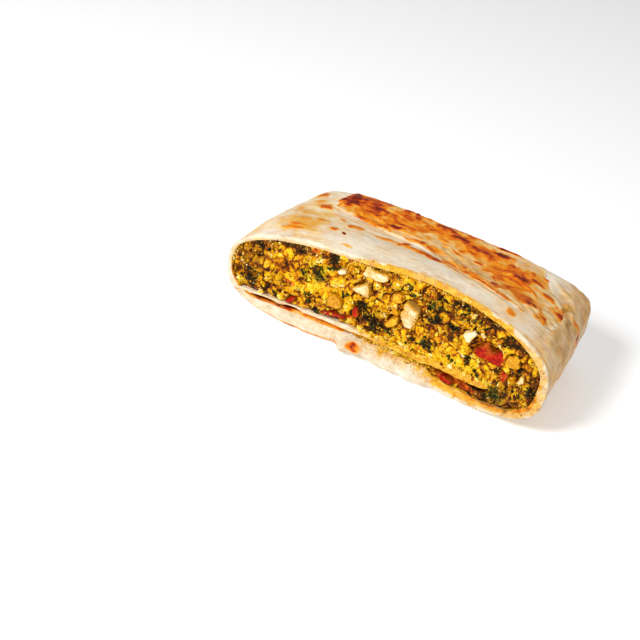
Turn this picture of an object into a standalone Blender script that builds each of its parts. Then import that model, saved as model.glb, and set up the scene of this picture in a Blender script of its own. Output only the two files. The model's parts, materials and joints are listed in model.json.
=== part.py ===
"""One half of a toasted falafel pita, folded into a parcel and cut across the middle.

The soft flat bread is wrapped round a falafel filling. The half rests on its flat underside with
the cut facing -Y, the long side of the cut along X and the browned outside upwards. The origin is
at the middle of the underside of its bounding box.

Nodes: the bread, the filling that runs through it, and each large piece that shows at the cut.
"""
import math

import bmesh
import bpy
import numpy as np
from mathutils import Matrix, Vector, noise

MM = 0.001

# ---------------------------------------------------------------- driving dimensions, in metres
WIDTH = 0.1112             # along the cut
MIDDLE = 0.0010            # the cut's middle lies this far right of the drawing's axis
DEPTH = 0.0510             # from the cut to the folded back
CROWN_LEFT = 0.0364        # height of the top at the cut, left of the middle
CROWN_RIGHT = 0.0392       # and right of it, where the filling is thicker
CROWN_BACK = 0.0322        # the parcel thins towards its folded back
CROWN_STEP_X = -0.0144
CROWN_STEP_RUN = 0.0314
CROWN_THIN_RUN = 0.0280    # depth over which it thins
BELLY = 0.0178             # height of the widest line of the sides
BACK_ROUND = 0.0080        # radius of the folded back
BACK_DRAW = 0.9            # how much the sides follow that rounding
LEFT_TAPER = 0.0078        # how much the left side draws in towards the back
RIGHT_TAPER = 0.0016
TAPER_POWER = 1.3
FRONT_SQUARENESS = 2.54    # exponents of the rounded section: the top at the cut,
BACK_SQUARENESS = 4.0      # the top at the back,
SQUARE_RUN = 0.0306        # reached at this depth,
BASE_SQUARENESS = 3.1      # and the underside
FLAT_CLEARANCE = 0.0005    # how far the section is let into the table to make it flat
CUT_HOLLOW = 0.0040        # the ends of the cut stand this far in front of its middle
FRONT_FALL = 0.0014        # the top drops this much to the cut
FRONT_FALL_RUN = 0.0140
ARCH_RISE = 0.0024         # the underside lifts a little at the middle of the cut
ARCH_HALF_WIDTH = 0.0200
ARCH_RUN = 0.0120

TOP_WALL = 0.0020          # thickness of the bread round the filling
LEFT_WALL = 0.0015
RIGHT_WALL = 0.0030
BASE_WALL = 0.0046
BACK_WALL = 0.0060
GAP = 0.0003               # between neighbouring solids
KNIFE_REACH = 0.0090       # how far uncut stock stands in front of the cut
KNIFE_MARGIN = 0.0100      # how far the knife passes the bread's sides
KNIFE_LOW = -0.0050        # the span of its height
KNIFE_HIGH = 0.0450
OVERCUT = 0.0020           # how far a tool runs past what it cuts

TONGUE_START_X = -0.0470   # the inner layer of bread under the filling
TONGUE_TIP_X = 0.0390
TONGUE_TOP_START = 0.0087  # height of its upper face at the left
TONGUE_TOP_RISE = 0.0042   # and how far it climbs towards its tip
TONGUE_UNDER_START = 0.0077
TONGUE_UNDER_SLOPE = 0.015
TONGUE_UNDER_MAX = 0.0083
TONGUE_UNDER_X = -0.0450
TONGUE_TIP_ROUND = 0.0030
POCKET_START_X = 0.0180    # the filling that has pushed in under the tip
SLIT_START_X = -0.0480     # the gap between the two layers under the filling
SLIT_HEIGHT_LEFT = 0.0009
SLIT_HEIGHT_RIGHT = 0.0012
SLIT_WIDENS = (-0.0200, 0.0120)
SLIT_DEPTH = 0.0090

FLAP_THICKNESS = 0.0011    # the last turn of bread lies on the top as a browned flap
FLAP_ROOT = 0.0012         # how far its solid reaches down into the body
FLAP_FRONT_LEFT = (-0.0350, 0.0262)
FLAP_FRONT_RIGHT = (0.0490, 0.0088)
FLAP_BACK_LEFT = (-0.0315, 0.0508)
FLAP_BACK_RIGHT = (0.0300, 0.0508)
FLAP_SIDE_BULGE = 0.0050   # its right edge bows outwards
FLAP_EDGE_WAVE = 0.0016    # and its front edge is wavy

LIP_START_X = -0.0170      # the outer layer stands forward of the cut as a lip
LIP_END_X = 0.0240
LIP_REACH = 0.0042
LIP_ROOT = 0.0035
LIP_THICKNESS = 0.0020

KNIFE_STEP = 0.0060
CRUMB_STEP = 0.0029        # spacing of the crumb relief on the cut filling
CRUMB_SIZE = 0.0042
CRUMB_RELIEF = 0.0006
LUMP_COUNT = 46            # falafel crumbs large enough to stand out as lumps
LUMP_RADIUS = (0.0012, 0.0023)
LUMP_SEED = 11
PIECE_STAND = 0.0008       # how far the diced pieces stand out of the filling

RING_POINTS = 76           # points round the outside
ROUND_POINTS = 38          # and round the filling: along the bread,
FLOOR_POINTS = 14          # over the inner layer
UNDER_POINTS = 4           # and under it
HOLLOW_RINGS = 4
SEED_OFFSET = Vector((3.7, 1.9, 5.3))
SLIVER = 0.00002           # edges shorter than this are merged
SMOOTH_ANGLE = math.radians(50)


# ------------------------------------------------------------------------------- scene helpers
def clear_scene():
    for item in list(bpy.data.objects):
        bpy.data.objects.remove(item, do_unlink=True)


def make_material(name, color, roughness):
    material = bpy.data.materials.new(name)
    material.use_nodes = True
    shader = material.node_tree.nodes["Principled BSDF"]
    shader.inputs["Base Color"].default_value = (*color, 1.0)
    shader.inputs["Roughness"].default_value = roughness
    shader.inputs["Metallic"].default_value = 0.0
    return material


def object_from(name, points, faces, material=None):
    """A closed mesh object with its faces pointing outwards."""
    mesh = bpy.data.meshes.new(name)
    mesh.from_pydata([tuple(p) for p in points], [], faces)
    shaped = bmesh.new()
    shaped.from_mesh(mesh)
    bmesh.ops.triangulate(shaped, faces=shaped.faces, quad_method="SHORT_EDGE")
    bmesh.ops.recalc_face_normals(shaped, faces=shaped.faces)
    shaped.to_mesh(mesh)
    shaped.free()
    item = bpy.data.objects.new(name, mesh)
    bpy.context.scene.collection.objects.link(item)
    if material is not None:
        mesh.materials.append(material)
    return item


def loft(name, rings, material=None):
    """A closed solid through equal rings of points, with flat caps."""
    count = len(rings[0])
    points = [point for ring in rings for point in ring]
    faces = []
    for row in range(len(rings) - 1):
        for i in range(count):
            j = (i + 1) % count
            faces.append((row * count + i, row * count + j, (row + 1) * count + j, (row + 1) * count + i))
    last = (len(rings) - 1) * count
    faces.append(tuple(range(count)))
    faces.append(tuple(last + i for i in range(count)))
    return object_from(name, points, faces, material)


def sheet(name, top, under):
    """A closed slab between two grids of points of the same size."""
    rows, columns = len(top), len(top[0])
    points = [p for row in top for p in row] + [p for row in under for p in row]
    offset = rows * columns
    faces = []
    for r in range(rows - 1):
        for c in range(columns - 1):
            a, b = r * columns + c, r * columns + c + 1
            d, e = a + columns, b + columns
            faces.append((a, b, e, d))
            faces.append((offset + a, offset + d, offset + e, offset + b))
    rim = list(range(columns))
    rim += [r * columns + columns - 1 for r in range(1, rows)]
    rim += [(rows - 1) * columns + c for c in range(columns - 2, -1, -1)]
    rim += [r * columns for r in range(rows - 2, 0, -1)]
    for i, a in enumerate(rim):
        b = rim[(i + 1) % len(rim)]
        faces.append((a, b, offset + b, offset + a))
    return object_from(name, points, faces)


def apply_modifiers(item):
    depsgraph = bpy.context.evaluated_depsgraph_get()
    mesh = bpy.data.meshes.new_from_object(item.evaluated_get(depsgraph))
    item.modifiers.clear()
    item.data = mesh


def combine(item, tools, operation):
    """Applies Booleans with the given tools, which are used up."""
    for tool in tools:
        modifier = item.modifiers.new(operation.title(), "BOOLEAN")
        modifier.operation = operation
        modifier.solver = "EXACT"
        modifier.object = tool
    apply_modifiers(item)
    for tool in tools:
        bpy.data.objects.remove(tool, do_unlink=True)


def tidy(item):
    """Merges the slivers that cutting leaves and shades the piece smooth."""
    shaped = bmesh.new()
    shaped.from_mesh(item.data)
    bmesh.ops.remove_doubles(shaped, verts=shaped.verts, dist=SLIVER)
    bmesh.ops.dissolve_degenerate(shaped, edges=shaped.edges, dist=SLIVER)
    bmesh.ops.triangulate(shaped, faces=shaped.faces)
    shaped.to_mesh(item.data)
    shaped.free()
    item.data.shade_smooth()
    item.data.set_sharp_from_angle(angle=SMOOTH_ANGLE)


# ------------------------------------------------------------------------------ form of the body
def smooth_step(value):
    t = min(max(value, 0.0), 1.0)
    return t * t * (3.0 - 2.0 * t)


def front_share(y, run):
    """1 at the cut, falling to 0 at the given depth."""
    return 1.0 - smooth_step(y / run)


def crown(x, y):
    """Height of the top before the rounding of the sides, higher right of the middle at the cut."""
    front = CROWN_LEFT + (CROWN_RIGHT - CROWN_LEFT) * smooth_step((x - CROWN_STEP_X) / CROWN_STEP_RUN)
    thinning = smooth_step(y / CROWN_THIN_RUN)
    return front + (CROWN_BACK - front) * thinning - FRONT_FALL * front_share(y, FRONT_FALL_RUN)


def squareness(y):
    return FRONT_SQUARENESS + (BACK_SQUARENESS - FRONT_SQUARENESS) * smooth_step(y / SQUARE_RUN)


def cut_y(x):
    """The cut is slightly hollow along its length."""
    return -CUT_HOLLOW * (2.0 * (x - MIDDLE) / WIDTH) ** 2


def back_scale(y):
    """How the section shrinks over the rounded back."""
    share = min(max((y - (DEPTH - BACK_ROUND)) / BACK_ROUND, 0.0), 1.0)
    return math.sqrt(max(1.0 - share * share, 0.0))


def sides(y):
    """Middle and half width of the section at a depth."""
    share = max(y, 0.0) / DEPTH
    left = MIDDLE - WIDTH / 2 + LEFT_TAPER * share ** TAPER_POWER
    right = MIDDLE + WIDTH / 2 - RIGHT_TAPER * share ** TAPER_POWER
    drawn_in = (1.0 - back_scale(y)) * BACK_ROUND * BACK_DRAW
    return (left + right) / 2, (right - left) / 2 - drawn_in


def arch(x, y):
    return ARCH_RISE * math.exp(-(x / ARCH_HALF_WIDTH) ** 2) * front_share(y, ARCH_RUN)


def section_point(y, angle):
    """A point of the outside at a depth, by an angle round the section from +X."""
    middle, half = sides(y)
    c, s = math.cos(angle), math.sin(angle)
    power = 2.0 / (squareness(y) if s >= 0 else BASE_SQUARENESS)
    x = middle + half * math.copysign(abs(c) ** power, c)
    rise = abs(s) ** power * back_scale(y)
    if s >= 0:
        return Vector((x, y, BELLY + (crown(x, y) - BELLY) * rise))
    z = max(BELLY - (BELLY + FLAT_CLEARANCE) * rise, 0.0)
    return Vector((x, y, z + arch(x, y) * rise))


def even_run(points, count):
    """Resamples an open run at even distances, keeping both its ends."""
    path = np.array([tuple(p) for p in points])
    reach = np.concatenate(([0.0], np.cumsum(np.linalg.norm(np.diff(path, axis=0), axis=1))))
    marks = np.linspace(0.0, reach[-1], count)
    columns = [np.interp(marks, reach, path[:, k]) for k in range(3)]
    return [Vector(values) for values in zip(*columns)]


def even_ring(points, count):
    return even_run(list(points) + [points[0]], count + 1)[:-1]


def dense_section(y, steps=480):
    return [section_point(y, -math.pi / 2 + 2 * math.pi * i / steps) for i in range(steps)]


def body_depths():
    """Depths of the rings, closer over the rounded back."""
    straight = np.linspace(0.0, DEPTH - BACK_ROUND, 8)
    turns = [DEPTH - BACK_ROUND + BACK_ROUND * math.sin(math.radians(a)) for a in (20, 40, 57, 71, 82)]
    return [-KNIFE_REACH] + [float(y) for y in straight] + turns


def make_body(material):
    rings = [even_ring(dense_section(y), RING_POINTS) for y in body_depths()]
    return loft("bread", rings, material)


# --------------------------------------------------------------------- the hollow and the filling
def wall_at(angle):
    """Thickness of the bread round the section."""
    s = math.sin(angle)
    side = RIGHT_WALL if math.cos(angle) >= 0 else LEFT_WALL
    return side + ((TOP_WALL if s >= 0 else BASE_WALL) - side) * abs(s)


def tongue_top(x):
    share = (x - TONGUE_START_X) / (TONGUE_TIP_X - TONGUE_START_X)
    return TONGUE_TOP_START + TONGUE_TOP_RISE * share * abs(share)


def tongue_under(x):
    return min(TONGUE_UNDER_MAX, TONGUE_UNDER_START + TONGUE_UNDER_SLOPE * (x - TONGUE_UNDER_X))


def round_run(y, inset):
    """The filling's outline along the bread, from the pocket round the right to the left end."""
    steps = 1200
    run = []
    for i in range(steps):
        angle = math.radians(-90) + math.radians(300) * i / steps
        here = section_point(y, angle)
        along = (section_point(y, angle + 0.002) - here).normalized()
        point = here + Vector((-along.z, 0.0, along.x)) * (wall_at(angle) + inset)
        if i < steps / 4 and point.x < POCKET_START_X + inset:
            continue
        if point.x < 0 and point.z < tongue_top(point.x) + inset:
            break
        run.append(point)
    return run


def hollow_outline(y, inset):
    """The outline of the filling: round the section, then back over the tongue's tip and under it."""
    outline = even_run(round_run(y, inset), ROUND_POINTS)
    left, bend = outline[-1].x, TONGUE_TIP_X + inset - TONGUE_TIP_ROUND
    for i in range(1, FLOOR_POINTS + 1):
        x = left + (bend - left) * i / FLOOR_POINTS
        outline.append(Vector((x, y, tongue_top(x) + inset)))
    upper, lower = tongue_top(bend) + inset, tongue_under(bend) - inset
    for angle in (60, 20, -20, -60):
        turn = math.radians(angle)
        x = bend + TONGUE_TIP_ROUND * math.cos(turn)
        outline.append(Vector((x, y, (upper + lower) / 2 + (upper - lower) / 2 * math.sin(turn))))
    for i in range(UNDER_POINTS + 1):
        x = bend + (POCKET_START_X + inset - bend) * i / UNDER_POINTS
        outline.append(Vector((x, y, tongue_under(x) - inset)))
    return outline


def hollow_rings(inset, front, back):
    return [hollow_outline(float(y), inset) for y in np.linspace(front, back, HOLLOW_RINGS)]


def make_hollow_tool():
    return loft("hollow tool", hollow_rings(0.0, -KNIFE_REACH - OVERCUT, DEPTH - BACK_WALL))


def slit_height(x):
    start, run = SLIT_WIDENS
    widening = smooth_step((x - start) / run)
    return SLIT_HEIGHT_LEFT + (SLIT_HEIGHT_RIGHT - SLIT_HEIGHT_LEFT) * widening


def make_slit_tool():
    """A thin wedge between the two layers of bread under the filling."""
    columns = 26
    top, under = [], []
    for y in (-KNIFE_REACH - OVERCUT, SLIT_DEPTH):
        upper_row, lower_row = [], []
        for i in range(columns):
            x = SLIT_START_X + (POCKET_START_X + OVERCUT - SLIT_START_X) * i / (columns - 1)
            upper_row.append(Vector((x, y, tongue_under(x))))
            lower_row.append(Vector((x, y, tongue_under(x) - slit_height(x))))
        top.append(upper_row)
        under.append(lower_row)
    return sheet("slit tool", top, under)


def make_knife(name, step_x, step_z, relief):
    """A block whose back face is the cut, with crumb relief if it cuts the filling."""
    left, span = -WIDTH / 2 - KNIFE_MARGIN, WIDTH + 2 * KNIFE_MARGIN
    columns = round(span / step_x)
    rows = round((KNIFE_HIGH - KNIFE_LOW) / step_z)
    top, under = [], []
    for r in range(rows + 1):
        z = KNIFE_LOW + (KNIFE_HIGH - KNIFE_LOW) * r / rows
        back_row, front_row = [], []
        for c in range(columns + 1):
            x = left + span * c / columns
            shift = 0.0
            if relief:
                place = Vector((x, 0.0, z)) / CRUMB_SIZE + SEED_OFFSET
                shift = relief * (noise.noise(place) + 0.8 * noise.noise(place * 2.3))
            back_row.append(Vector((x, cut_y(x) + shift, z)))
            front_row.append(Vector((x, -KNIFE_REACH - 3 * OVERCUT, z)))
        top.append(back_row)
        under.append(front_row)
    return sheet(name, top, under)


# ------------------------------------------------------------------------------- flap and lip
def top_point(x, y):
    """A point of the outside's top half at a place seen from above."""
    middle, half = sides(y)
    across = min(abs((x - middle) / half), 0.9995)
    power = squareness(y)
    rise = (1.0 - across ** power) ** (1.0 / power) * back_scale(y)
    return Vector((x, y, BELLY + (crown(x, y) - BELLY) * rise))


def top_normal(x, y):
    step = 0.0004
    along = top_point(x + step, y) - top_point(x - step, y)
    back = top_point(x, min(y + step, DEPTH - 0.0001)) - top_point(x, y - step)
    return along.cross(back).normalized()


def make_flap():
    """The browned flap: a sheet laid on the top that runs over the back."""
    columns, rows = 20, 9
    top, under = [], []
    for r in range(rows + 1):
        share = math.sin(math.pi / 2 * r / rows) ** 0.8
        upper_row, lower_row = [], []
        for c in range(columns + 1):
            t = c / columns
            front = Vector(FLAP_FRONT_LEFT).lerp(Vector(FLAP_FRONT_RIGHT), t)
            front.y += FLAP_EDGE_WAVE * math.sin(5.2 * t + 0.6) * math.sin(math.pi * t)
            back = Vector(FLAP_BACK_LEFT).lerp(Vector(FLAP_BACK_RIGHT), t)
            place = front.lerp(back, share)
            place.x += FLAP_SIDE_BULGE * t ** 4 * math.sin(math.pi * share)
            point, normal = top_point(*place), top_normal(*place)
            upper_row.append(point + normal * FLAP_THICKNESS)
            lower_row.append(point - normal * FLAP_ROOT)
        top.append(upper_row)
        under.append(lower_row)
    return sheet("flap", top, under)


def lip_reach(x):
    """How far the outer layer stands in front of the cut."""
    ends = smooth_step((x - LIP_START_X) / 0.0090) * smooth_step((LIP_END_X - x) / 0.0140)
    wave = 0.0006 * math.sin(x / 0.0021) + 0.0003 * math.sin(x / 0.0009 + 1.0)
    return 0.0003 + (LIP_REACH + wave) * ends


def make_lip():
    """The outer layer under the filling, peeled a little forwards and down."""
    columns = 34
    top, under = [], []
    for share in (-1.0, -0.35, 0.0, 0.35, 0.7, 0.92, 1.0):
        upper_row, lower_row = [], []
        for c in range(columns + 1):
            x = LIP_START_X + (LIP_END_X - LIP_START_X) * c / columns
            reach = lip_reach(x)
            ahead = max(share, 0.0)
            y = cut_y(x) - (reach * share if share > 0 else LIP_ROOT * share)
            inner = tongue_under(x) - slit_height(x) - 0.0001
            base = arch(x, 0.0) * (1.0 - 0.25 * ahead)
            front = base + LIP_THICKNESS
            fall = (inner - front) * ahead ** 1.3 * min(reach / LIP_REACH, 1.0)
            edge = 0.4 * LIP_THICKNESS * smooth_step((ahead - 0.85) / 0.15)
            upper_row.append(Vector((x, y, inner - fall - edge)))
            lower_row.append(Vector((x, y, base + 0.0003 + edge)))
        top.append(upper_row)
        under.append(lower_row)
    return sheet("lip", top, under)


def make_bread(material):
    bread = make_body(material)
    combine(bread, [make_flap()], "UNION")
    combine(bread, [make_knife("knife", KNIFE_STEP, KNIFE_HIGH - KNIFE_LOW, 0.0)], "DIFFERENCE")
    combine(bread, [make_lip()], "UNION")
    combine(bread, [make_hollow_tool(), make_slit_tool()], "DIFFERENCE")
    tidy(bread)
    return bread


# --------------------------------------------------------------------------- the diced pieces
# name, kind, (x, z) of the middle of its cut face, (length, depth, height), tilt in degrees, boxiness
PIECES = (
    ("onion_slice", "onion", (-0.0048, 0.0310), (0.0092, 0.0050, 0.0036), -3, 2.6),
    ("onion_wedge", "onion", (-0.0088, 0.0249), (0.0070, 0.0050, 0.0048), 14, 2.0),
    ("onion_chunk", "onion", (0.0083, 0.0225), (0.0064, 0.0060, 0.0102), -6, 3.0),
    ("onion_end", "onion", (0.0478, 0.0192), (0.0024, 0.0045, 0.0036), -14, 2.3),
    ("white_cube", "white", (0.0286, 0.0250), (0.0052, 0.0050, 0.0042), 24, 3.4),
    ("white_bit", "white", (-0.0162, 0.0276), (0.0030, 0.0040, 0.0022), -10, 2.2),
    ("pepper_large", "pepper", (0.0362, 0.0222), (0.0108, 0.0055, 0.0050), 12, 3.0),
    ("pepper_tail", "pepper", (0.0424, 0.0170), (0.0029, 0.0045, 0.0044), 10, 2.4),
    ("pepper_strip", "pepper", (-0.0159, 0.0114), (0.0092, 0.0050, 0.0022), 6, 2.6),
    ("pepper_corner", "pepper", (-0.0312, 0.0109), (0.0036, 0.0045, 0.0024), 30, 2.4),
    ("pepper_bit", "pepper", (-0.0088, 0.0158), (0.0026, 0.0042, 0.0040), 15, 2.3),
    ("pepper_pocket", "pepper", (0.0244, 0.0066), (0.0064, 0.0050, 0.0022), -6, 2.6),
    ("chickpea_small", "chickpea", (0.0036, 0.0268), (0.0046, 0.0045, 0.0042), 8, 2.3),
    ("chickpea_chunk", "chickpea", (0.0034, 0.0176), (0.0044, 0.0048, 0.0046), -15, 2.4),
    ("chickpea_half", "chickpea", (-0.0166, 0.0162), (0.0062, 0.0050, 0.0050), -6, 2.2),
    ("chickpea_end", "chickpea", (0.0440, 0.0236), (0.0048, 0.0048, 0.0044), 20, 2.5),
)


def piece_points(length, depth, height, tilt, boxiness, seed, swell=0.0):
    """Points and faces of an uneven boxy lump about its own middle."""
    shaped = bmesh.new()
    bmesh.ops.create_icosphere(shaped, subdivisions=2, radius=1.0)
    turn = Matrix.Rotation(math.radians(-tilt), 3, "Y")
    points = []
    for vertex in shaped.verts:
        spot = vertex.co.normalized()
        reach = sum(abs(value) ** boxiness for value in spot) ** (-1.0 / boxiness)
        reach *= 1.0 + 0.13 * noise.noise(spot * 1.4 + SEED_OFFSET * seed)
        half = Vector((length, depth, height)) / 2
        half += Vector((swell, swell, swell)) * 1.15
        points.append(turn @ Vector(spot[k] * reach * half[k] for k in range(3)))
    faces = [[vertex.index for vertex in face.verts] for face in shaped.faces]
    shaped.free()
    return points, faces


def place_piece(row, index, swell, material=None):
    name, _, (x, z), (length, depth, height), tilt, boxiness = row
    points, faces = piece_points(length, depth, height, tilt, boxiness, index + 1, swell)
    middle = Vector((x, cut_y(x) + depth / 2 - PIECE_STAND, z))
    label = name if swell == 0.0 else name + " seat"
    return object_from(label, [point + middle for point in points], faces, material)


# -------------------------------------------------------------------------------- the filling
def clearance_to(outline, x, z):
    """Distance of a place on the cut to the filling's outline, negative outside it."""
    a = np.array([(p.x, p.z) for p in outline])
    b = np.roll(a, -1, axis=0)
    here = np.array((x, z))
    run = b - a
    share = np.clip(((here - a) * run).sum(1) / (run ** 2).sum(1), 0.0, 1.0)
    gap = np.linalg.norm(a + run * share[:, None] - here, axis=1).min()
    crosses = (a[:, 1] > z) != (b[:, 1] > z)
    at = a[:, 0] + (z - a[:, 1]) * run[:, 0] / np.where(run[:, 1] == 0, 1.0, run[:, 1])
    inside = np.count_nonzero(crosses & (x < at)) % 2 == 1
    return gap if inside else -gap


def clear_of_pieces(x, z, radius):
    for _, _, (px, pz), (length, _, height), tilt, _ in PIECES:
        turn = math.radians(tilt)
        dx, dz = x - px, z - pz
        along = dx * math.cos(turn) + dz * math.sin(turn)
        across = -dx * math.sin(turn) + dz * math.cos(turn)
        margin = radius + 0.0008
        if abs(along) < length / 2 + margin and abs(across) < height / 2 + margin:
            return False
    return True


def lump_places():
    """Seeded places and radii of the lumps, clear of the outline, the pieces and each other."""
    rng = np.random.default_rng(LUMP_SEED)
    outline = hollow_outline(0.0, GAP)
    found = []
    while len(found) < LUMP_COUNT:
        x = rng.uniform(-WIDTH / 2, WIDTH / 2)
        z = rng.uniform(0.0, CROWN_RIGHT)
        radius = rng.uniform(*LUMP_RADIUS)
        if clearance_to(outline, x, z) < radius * 1.35 + 0.0002 or not clear_of_pieces(x, z, radius * 1.3):
            continue
        if all(math.hypot(x - fx, z - fz) > 1.15 * (radius + fr) for fx, fz, fr in found):
            found.append((x, z, radius))
    return found


def make_lumps():
    group = bpy.data.collections.new("lumps")
    bpy.context.scene.collection.children.link(group)
    for number, (x, z, radius) in enumerate(lump_places()):
        size = 2 * radius
        points, faces = piece_points(size * 1.15, size, size * 0.95, 40 * number, 2.1, 20 + number)
        middle = Vector((x, cut_y(x) + 0.25 * radius, z))
        lump = object_from("lump", [point + middle for point in points], faces)
        bpy.context.scene.collection.objects.unlink(lump)
        group.objects.link(lump)
    return group


def combine_group(item, group, operation):
    """Applies one Boolean with a whole collection, which is used up."""
    modifier = item.modifiers.new(operation.title(), "BOOLEAN")
    modifier.operation = operation
    modifier.solver = "EXACT"
    modifier.operand_type = "COLLECTION"
    modifier.collection = group
    apply_modifiers(item)
    for tool in list(group.objects):
        bpy.data.objects.remove(tool, do_unlink=True)
    bpy.data.collections.remove(group)


def make_filling(material):
    rings = hollow_rings(GAP, -KNIFE_REACH, DEPTH - BACK_WALL - GAP)
    filling = loft("filling", rings, material)
    combine(filling, [make_knife("crumb knife", CRUMB_STEP, CRUMB_STEP, CRUMB_RELIEF)], "DIFFERENCE")
    combine_group(filling, make_lumps(), "UNION")
    seats = bpy.data.collections.new("seats")
    bpy.context.scene.collection.children.link(seats)
    for index, row in enumerate(PIECES):
        seat = place_piece(row, index, GAP)
        bpy.context.scene.collection.objects.unlink(seat)
        seats.objects.link(seat)
    combine_group(filling, seats, "DIFFERENCE")
    tidy(filling)
    return filling


def set_origin(items):
    """Moves the whole so that the origin is under the middle of its bounding box."""
    points = [vertex.co for item in items for vertex in item.data.vertices]
    low = [min(point[k] for point in points) for k in range(3)]
    high = [max(point[k] for point in points) for k in range(3)]
    shift = Vector((-(low[0] + high[0]) / 2, -(low[1] + high[1]) / 2, -low[2]))
    for item in items:
        item.data.transform(Matrix.Translation(shift))
    return shift


def main():
    clear_scene()
    looks = {
        "onion": make_material("cooked onion", (0.80, 0.70, 0.48), 0.35),
        "white": make_material("white cube", (0.88, 0.84, 0.70), 0.55),
        "pepper": make_material("red pepper", (0.55, 0.05, 0.02), 0.30),
        "chickpea": make_material("chickpea", (0.72, 0.50, 0.10), 0.60),
    }
    bread = make_bread(make_material("soft flat bread", (0.80, 0.66, 0.45), 0.75))
    filling = make_filling(make_material("falafel filling", (0.42, 0.25, 0.04), 0.80))
    pieces = [place_piece(row, index, 0.0, looks[row[1]]) for index, row in enumerate(PIECES)]
    for piece in pieces:
        tidy(piece)
    return set_origin([bread, filling] + pieces)


FRAME_SHIFT = main()
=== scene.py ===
"""One half of a toasted falafel wrap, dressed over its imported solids.

Soft flat bread is folded round a crumbly herbed filling and cut across. The cut faces -Y with its
long side along X, the folded back is at +Y, and the half lies flat on its underside. Below,
"depth" is the distance behind the cut.
"""
import json
import math

import bpy
import numpy as np
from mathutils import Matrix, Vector, noise
from mathutils.bvhtree import BVHTree

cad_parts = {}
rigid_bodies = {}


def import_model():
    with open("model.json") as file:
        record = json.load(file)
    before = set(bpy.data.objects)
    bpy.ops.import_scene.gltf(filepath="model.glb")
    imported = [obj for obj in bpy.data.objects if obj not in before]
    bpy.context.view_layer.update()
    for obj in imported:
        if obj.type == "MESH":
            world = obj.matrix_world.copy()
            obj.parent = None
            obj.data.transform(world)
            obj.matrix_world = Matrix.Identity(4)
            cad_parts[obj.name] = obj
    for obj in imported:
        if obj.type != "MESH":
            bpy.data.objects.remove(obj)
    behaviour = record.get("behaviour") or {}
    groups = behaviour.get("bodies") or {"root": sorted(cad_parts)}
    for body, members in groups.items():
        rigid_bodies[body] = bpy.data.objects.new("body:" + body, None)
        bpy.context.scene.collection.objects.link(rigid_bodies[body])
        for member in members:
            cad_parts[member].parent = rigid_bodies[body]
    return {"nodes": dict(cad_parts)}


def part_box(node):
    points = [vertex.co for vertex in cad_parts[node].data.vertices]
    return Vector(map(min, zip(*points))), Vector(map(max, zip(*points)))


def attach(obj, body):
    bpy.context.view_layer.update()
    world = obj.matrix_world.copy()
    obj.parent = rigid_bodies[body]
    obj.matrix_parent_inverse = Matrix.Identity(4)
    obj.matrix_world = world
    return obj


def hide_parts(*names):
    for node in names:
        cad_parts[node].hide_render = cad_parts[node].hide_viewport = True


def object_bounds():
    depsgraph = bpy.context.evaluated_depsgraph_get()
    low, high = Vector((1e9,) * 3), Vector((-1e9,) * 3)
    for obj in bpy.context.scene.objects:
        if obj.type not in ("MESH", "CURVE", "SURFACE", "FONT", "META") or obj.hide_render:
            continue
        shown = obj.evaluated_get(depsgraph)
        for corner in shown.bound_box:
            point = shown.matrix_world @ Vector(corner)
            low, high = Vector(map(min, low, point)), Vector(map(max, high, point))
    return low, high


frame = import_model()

CAD_LOW, CAD_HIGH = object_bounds()
MM = 0.001

# ------------------------------------------------------------------ the bread's form, in metres
# these repeat the values that the solids were made from
LIP_STAND = 5.03 * MM                 # the lip stands this far in front of the middle of the cut
CUT = CAD_LOW.y + LIP_STAND           # where the middle of the cut is
WIDTH = CAD_HIGH.x - CAD_LOW.x
DEPTH = 51.0 * MM
CROWN_LEFT, CROWN_RIGHT, CROWN_BACK = 36.4 * MM, 39.2 * MM, 32.2 * MM
CROWN_STEP_X, CROWN_STEP_RUN, CROWN_THIN_RUN = -15.4 * MM, 31.4 * MM, 28.0 * MM
BELLY = 17.8 * MM
BACK_ROUND, BACK_DRAW = 8.0 * MM, 0.9
LEFT_TAPER, RIGHT_TAPER, TAPER_POWER = 7.8 * MM, 1.6 * MM, 1.3
FRONT_SQUARENESS, BACK_SQUARENESS, SQUARE_RUN = 2.54, 4.0, 30.6 * MM
BASE_SQUARENESS, FLAT_CLEARANCE = 3.1, 0.5 * MM
CUT_HOLLOW = 4.0 * MM
FRONT_FALL, FRONT_FALL_RUN = 1.4 * MM, 14.0 * MM
ARCH_X, ARCH_RISE, ARCH_HALF_WIDTH, ARCH_RUN = -1.0 * MM, 2.4 * MM, 20.0 * MM, 12.0 * MM
TOP_WALL, LEFT_WALL, RIGHT_WALL, BASE_WALL = 2.0 * MM, 1.5 * MM, 3.0 * MM, 4.6 * MM

TONGUE_START_X, TONGUE_TIP_X = -50.0 * MM, 38.0 * MM
TONGUE_TOP_START, TONGUE_TOP_RISE = 8.7 * MM, 4.2 * MM
TONGUE_UNDER_X, TONGUE_UNDER_START, TONGUE_UNDER_MAX = -46.0 * MM, 7.7 * MM, 8.3 * MM
TONGUE_UNDER_SLOPE = 0.015
SLIT_LEFT, SLIT_RIGHT, SLIT_WIDENS_X, SLIT_WIDENS_RUN = 0.9 * MM, 1.2 * MM, -21.0 * MM, 12.0 * MM
POCKET_X, POCKET_RUN = 16.0 * MM, 4.5 * MM

LIP_LEFT, LIP_LEFT_RUN, LIP_RIGHT, LIP_RIGHT_RUN = -15.5 * MM, 4.5 * MM, 23.0 * MM, 14.0 * MM
LIP_REACH = 4.2 * MM


def smooth_step(value):
    """0 below 0, 1 above 1 and smooth between them."""
    t = np.clip(value, 0.0, 1.0)
    return t * t * (3.0 - 2.0 * t)


def ramp_up(value, start, run):
    """0 up to the start, 1 once past the run and smooth between them, both in mm."""
    return smooth_step((value - start * MM) / (run * MM))


def ramp_down(value, end, run):
    """0 from the end on, 1 before the run that leads up to it and smooth between them, both in mm."""
    return smooth_step((end * MM - value) / (run * MM))


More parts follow.
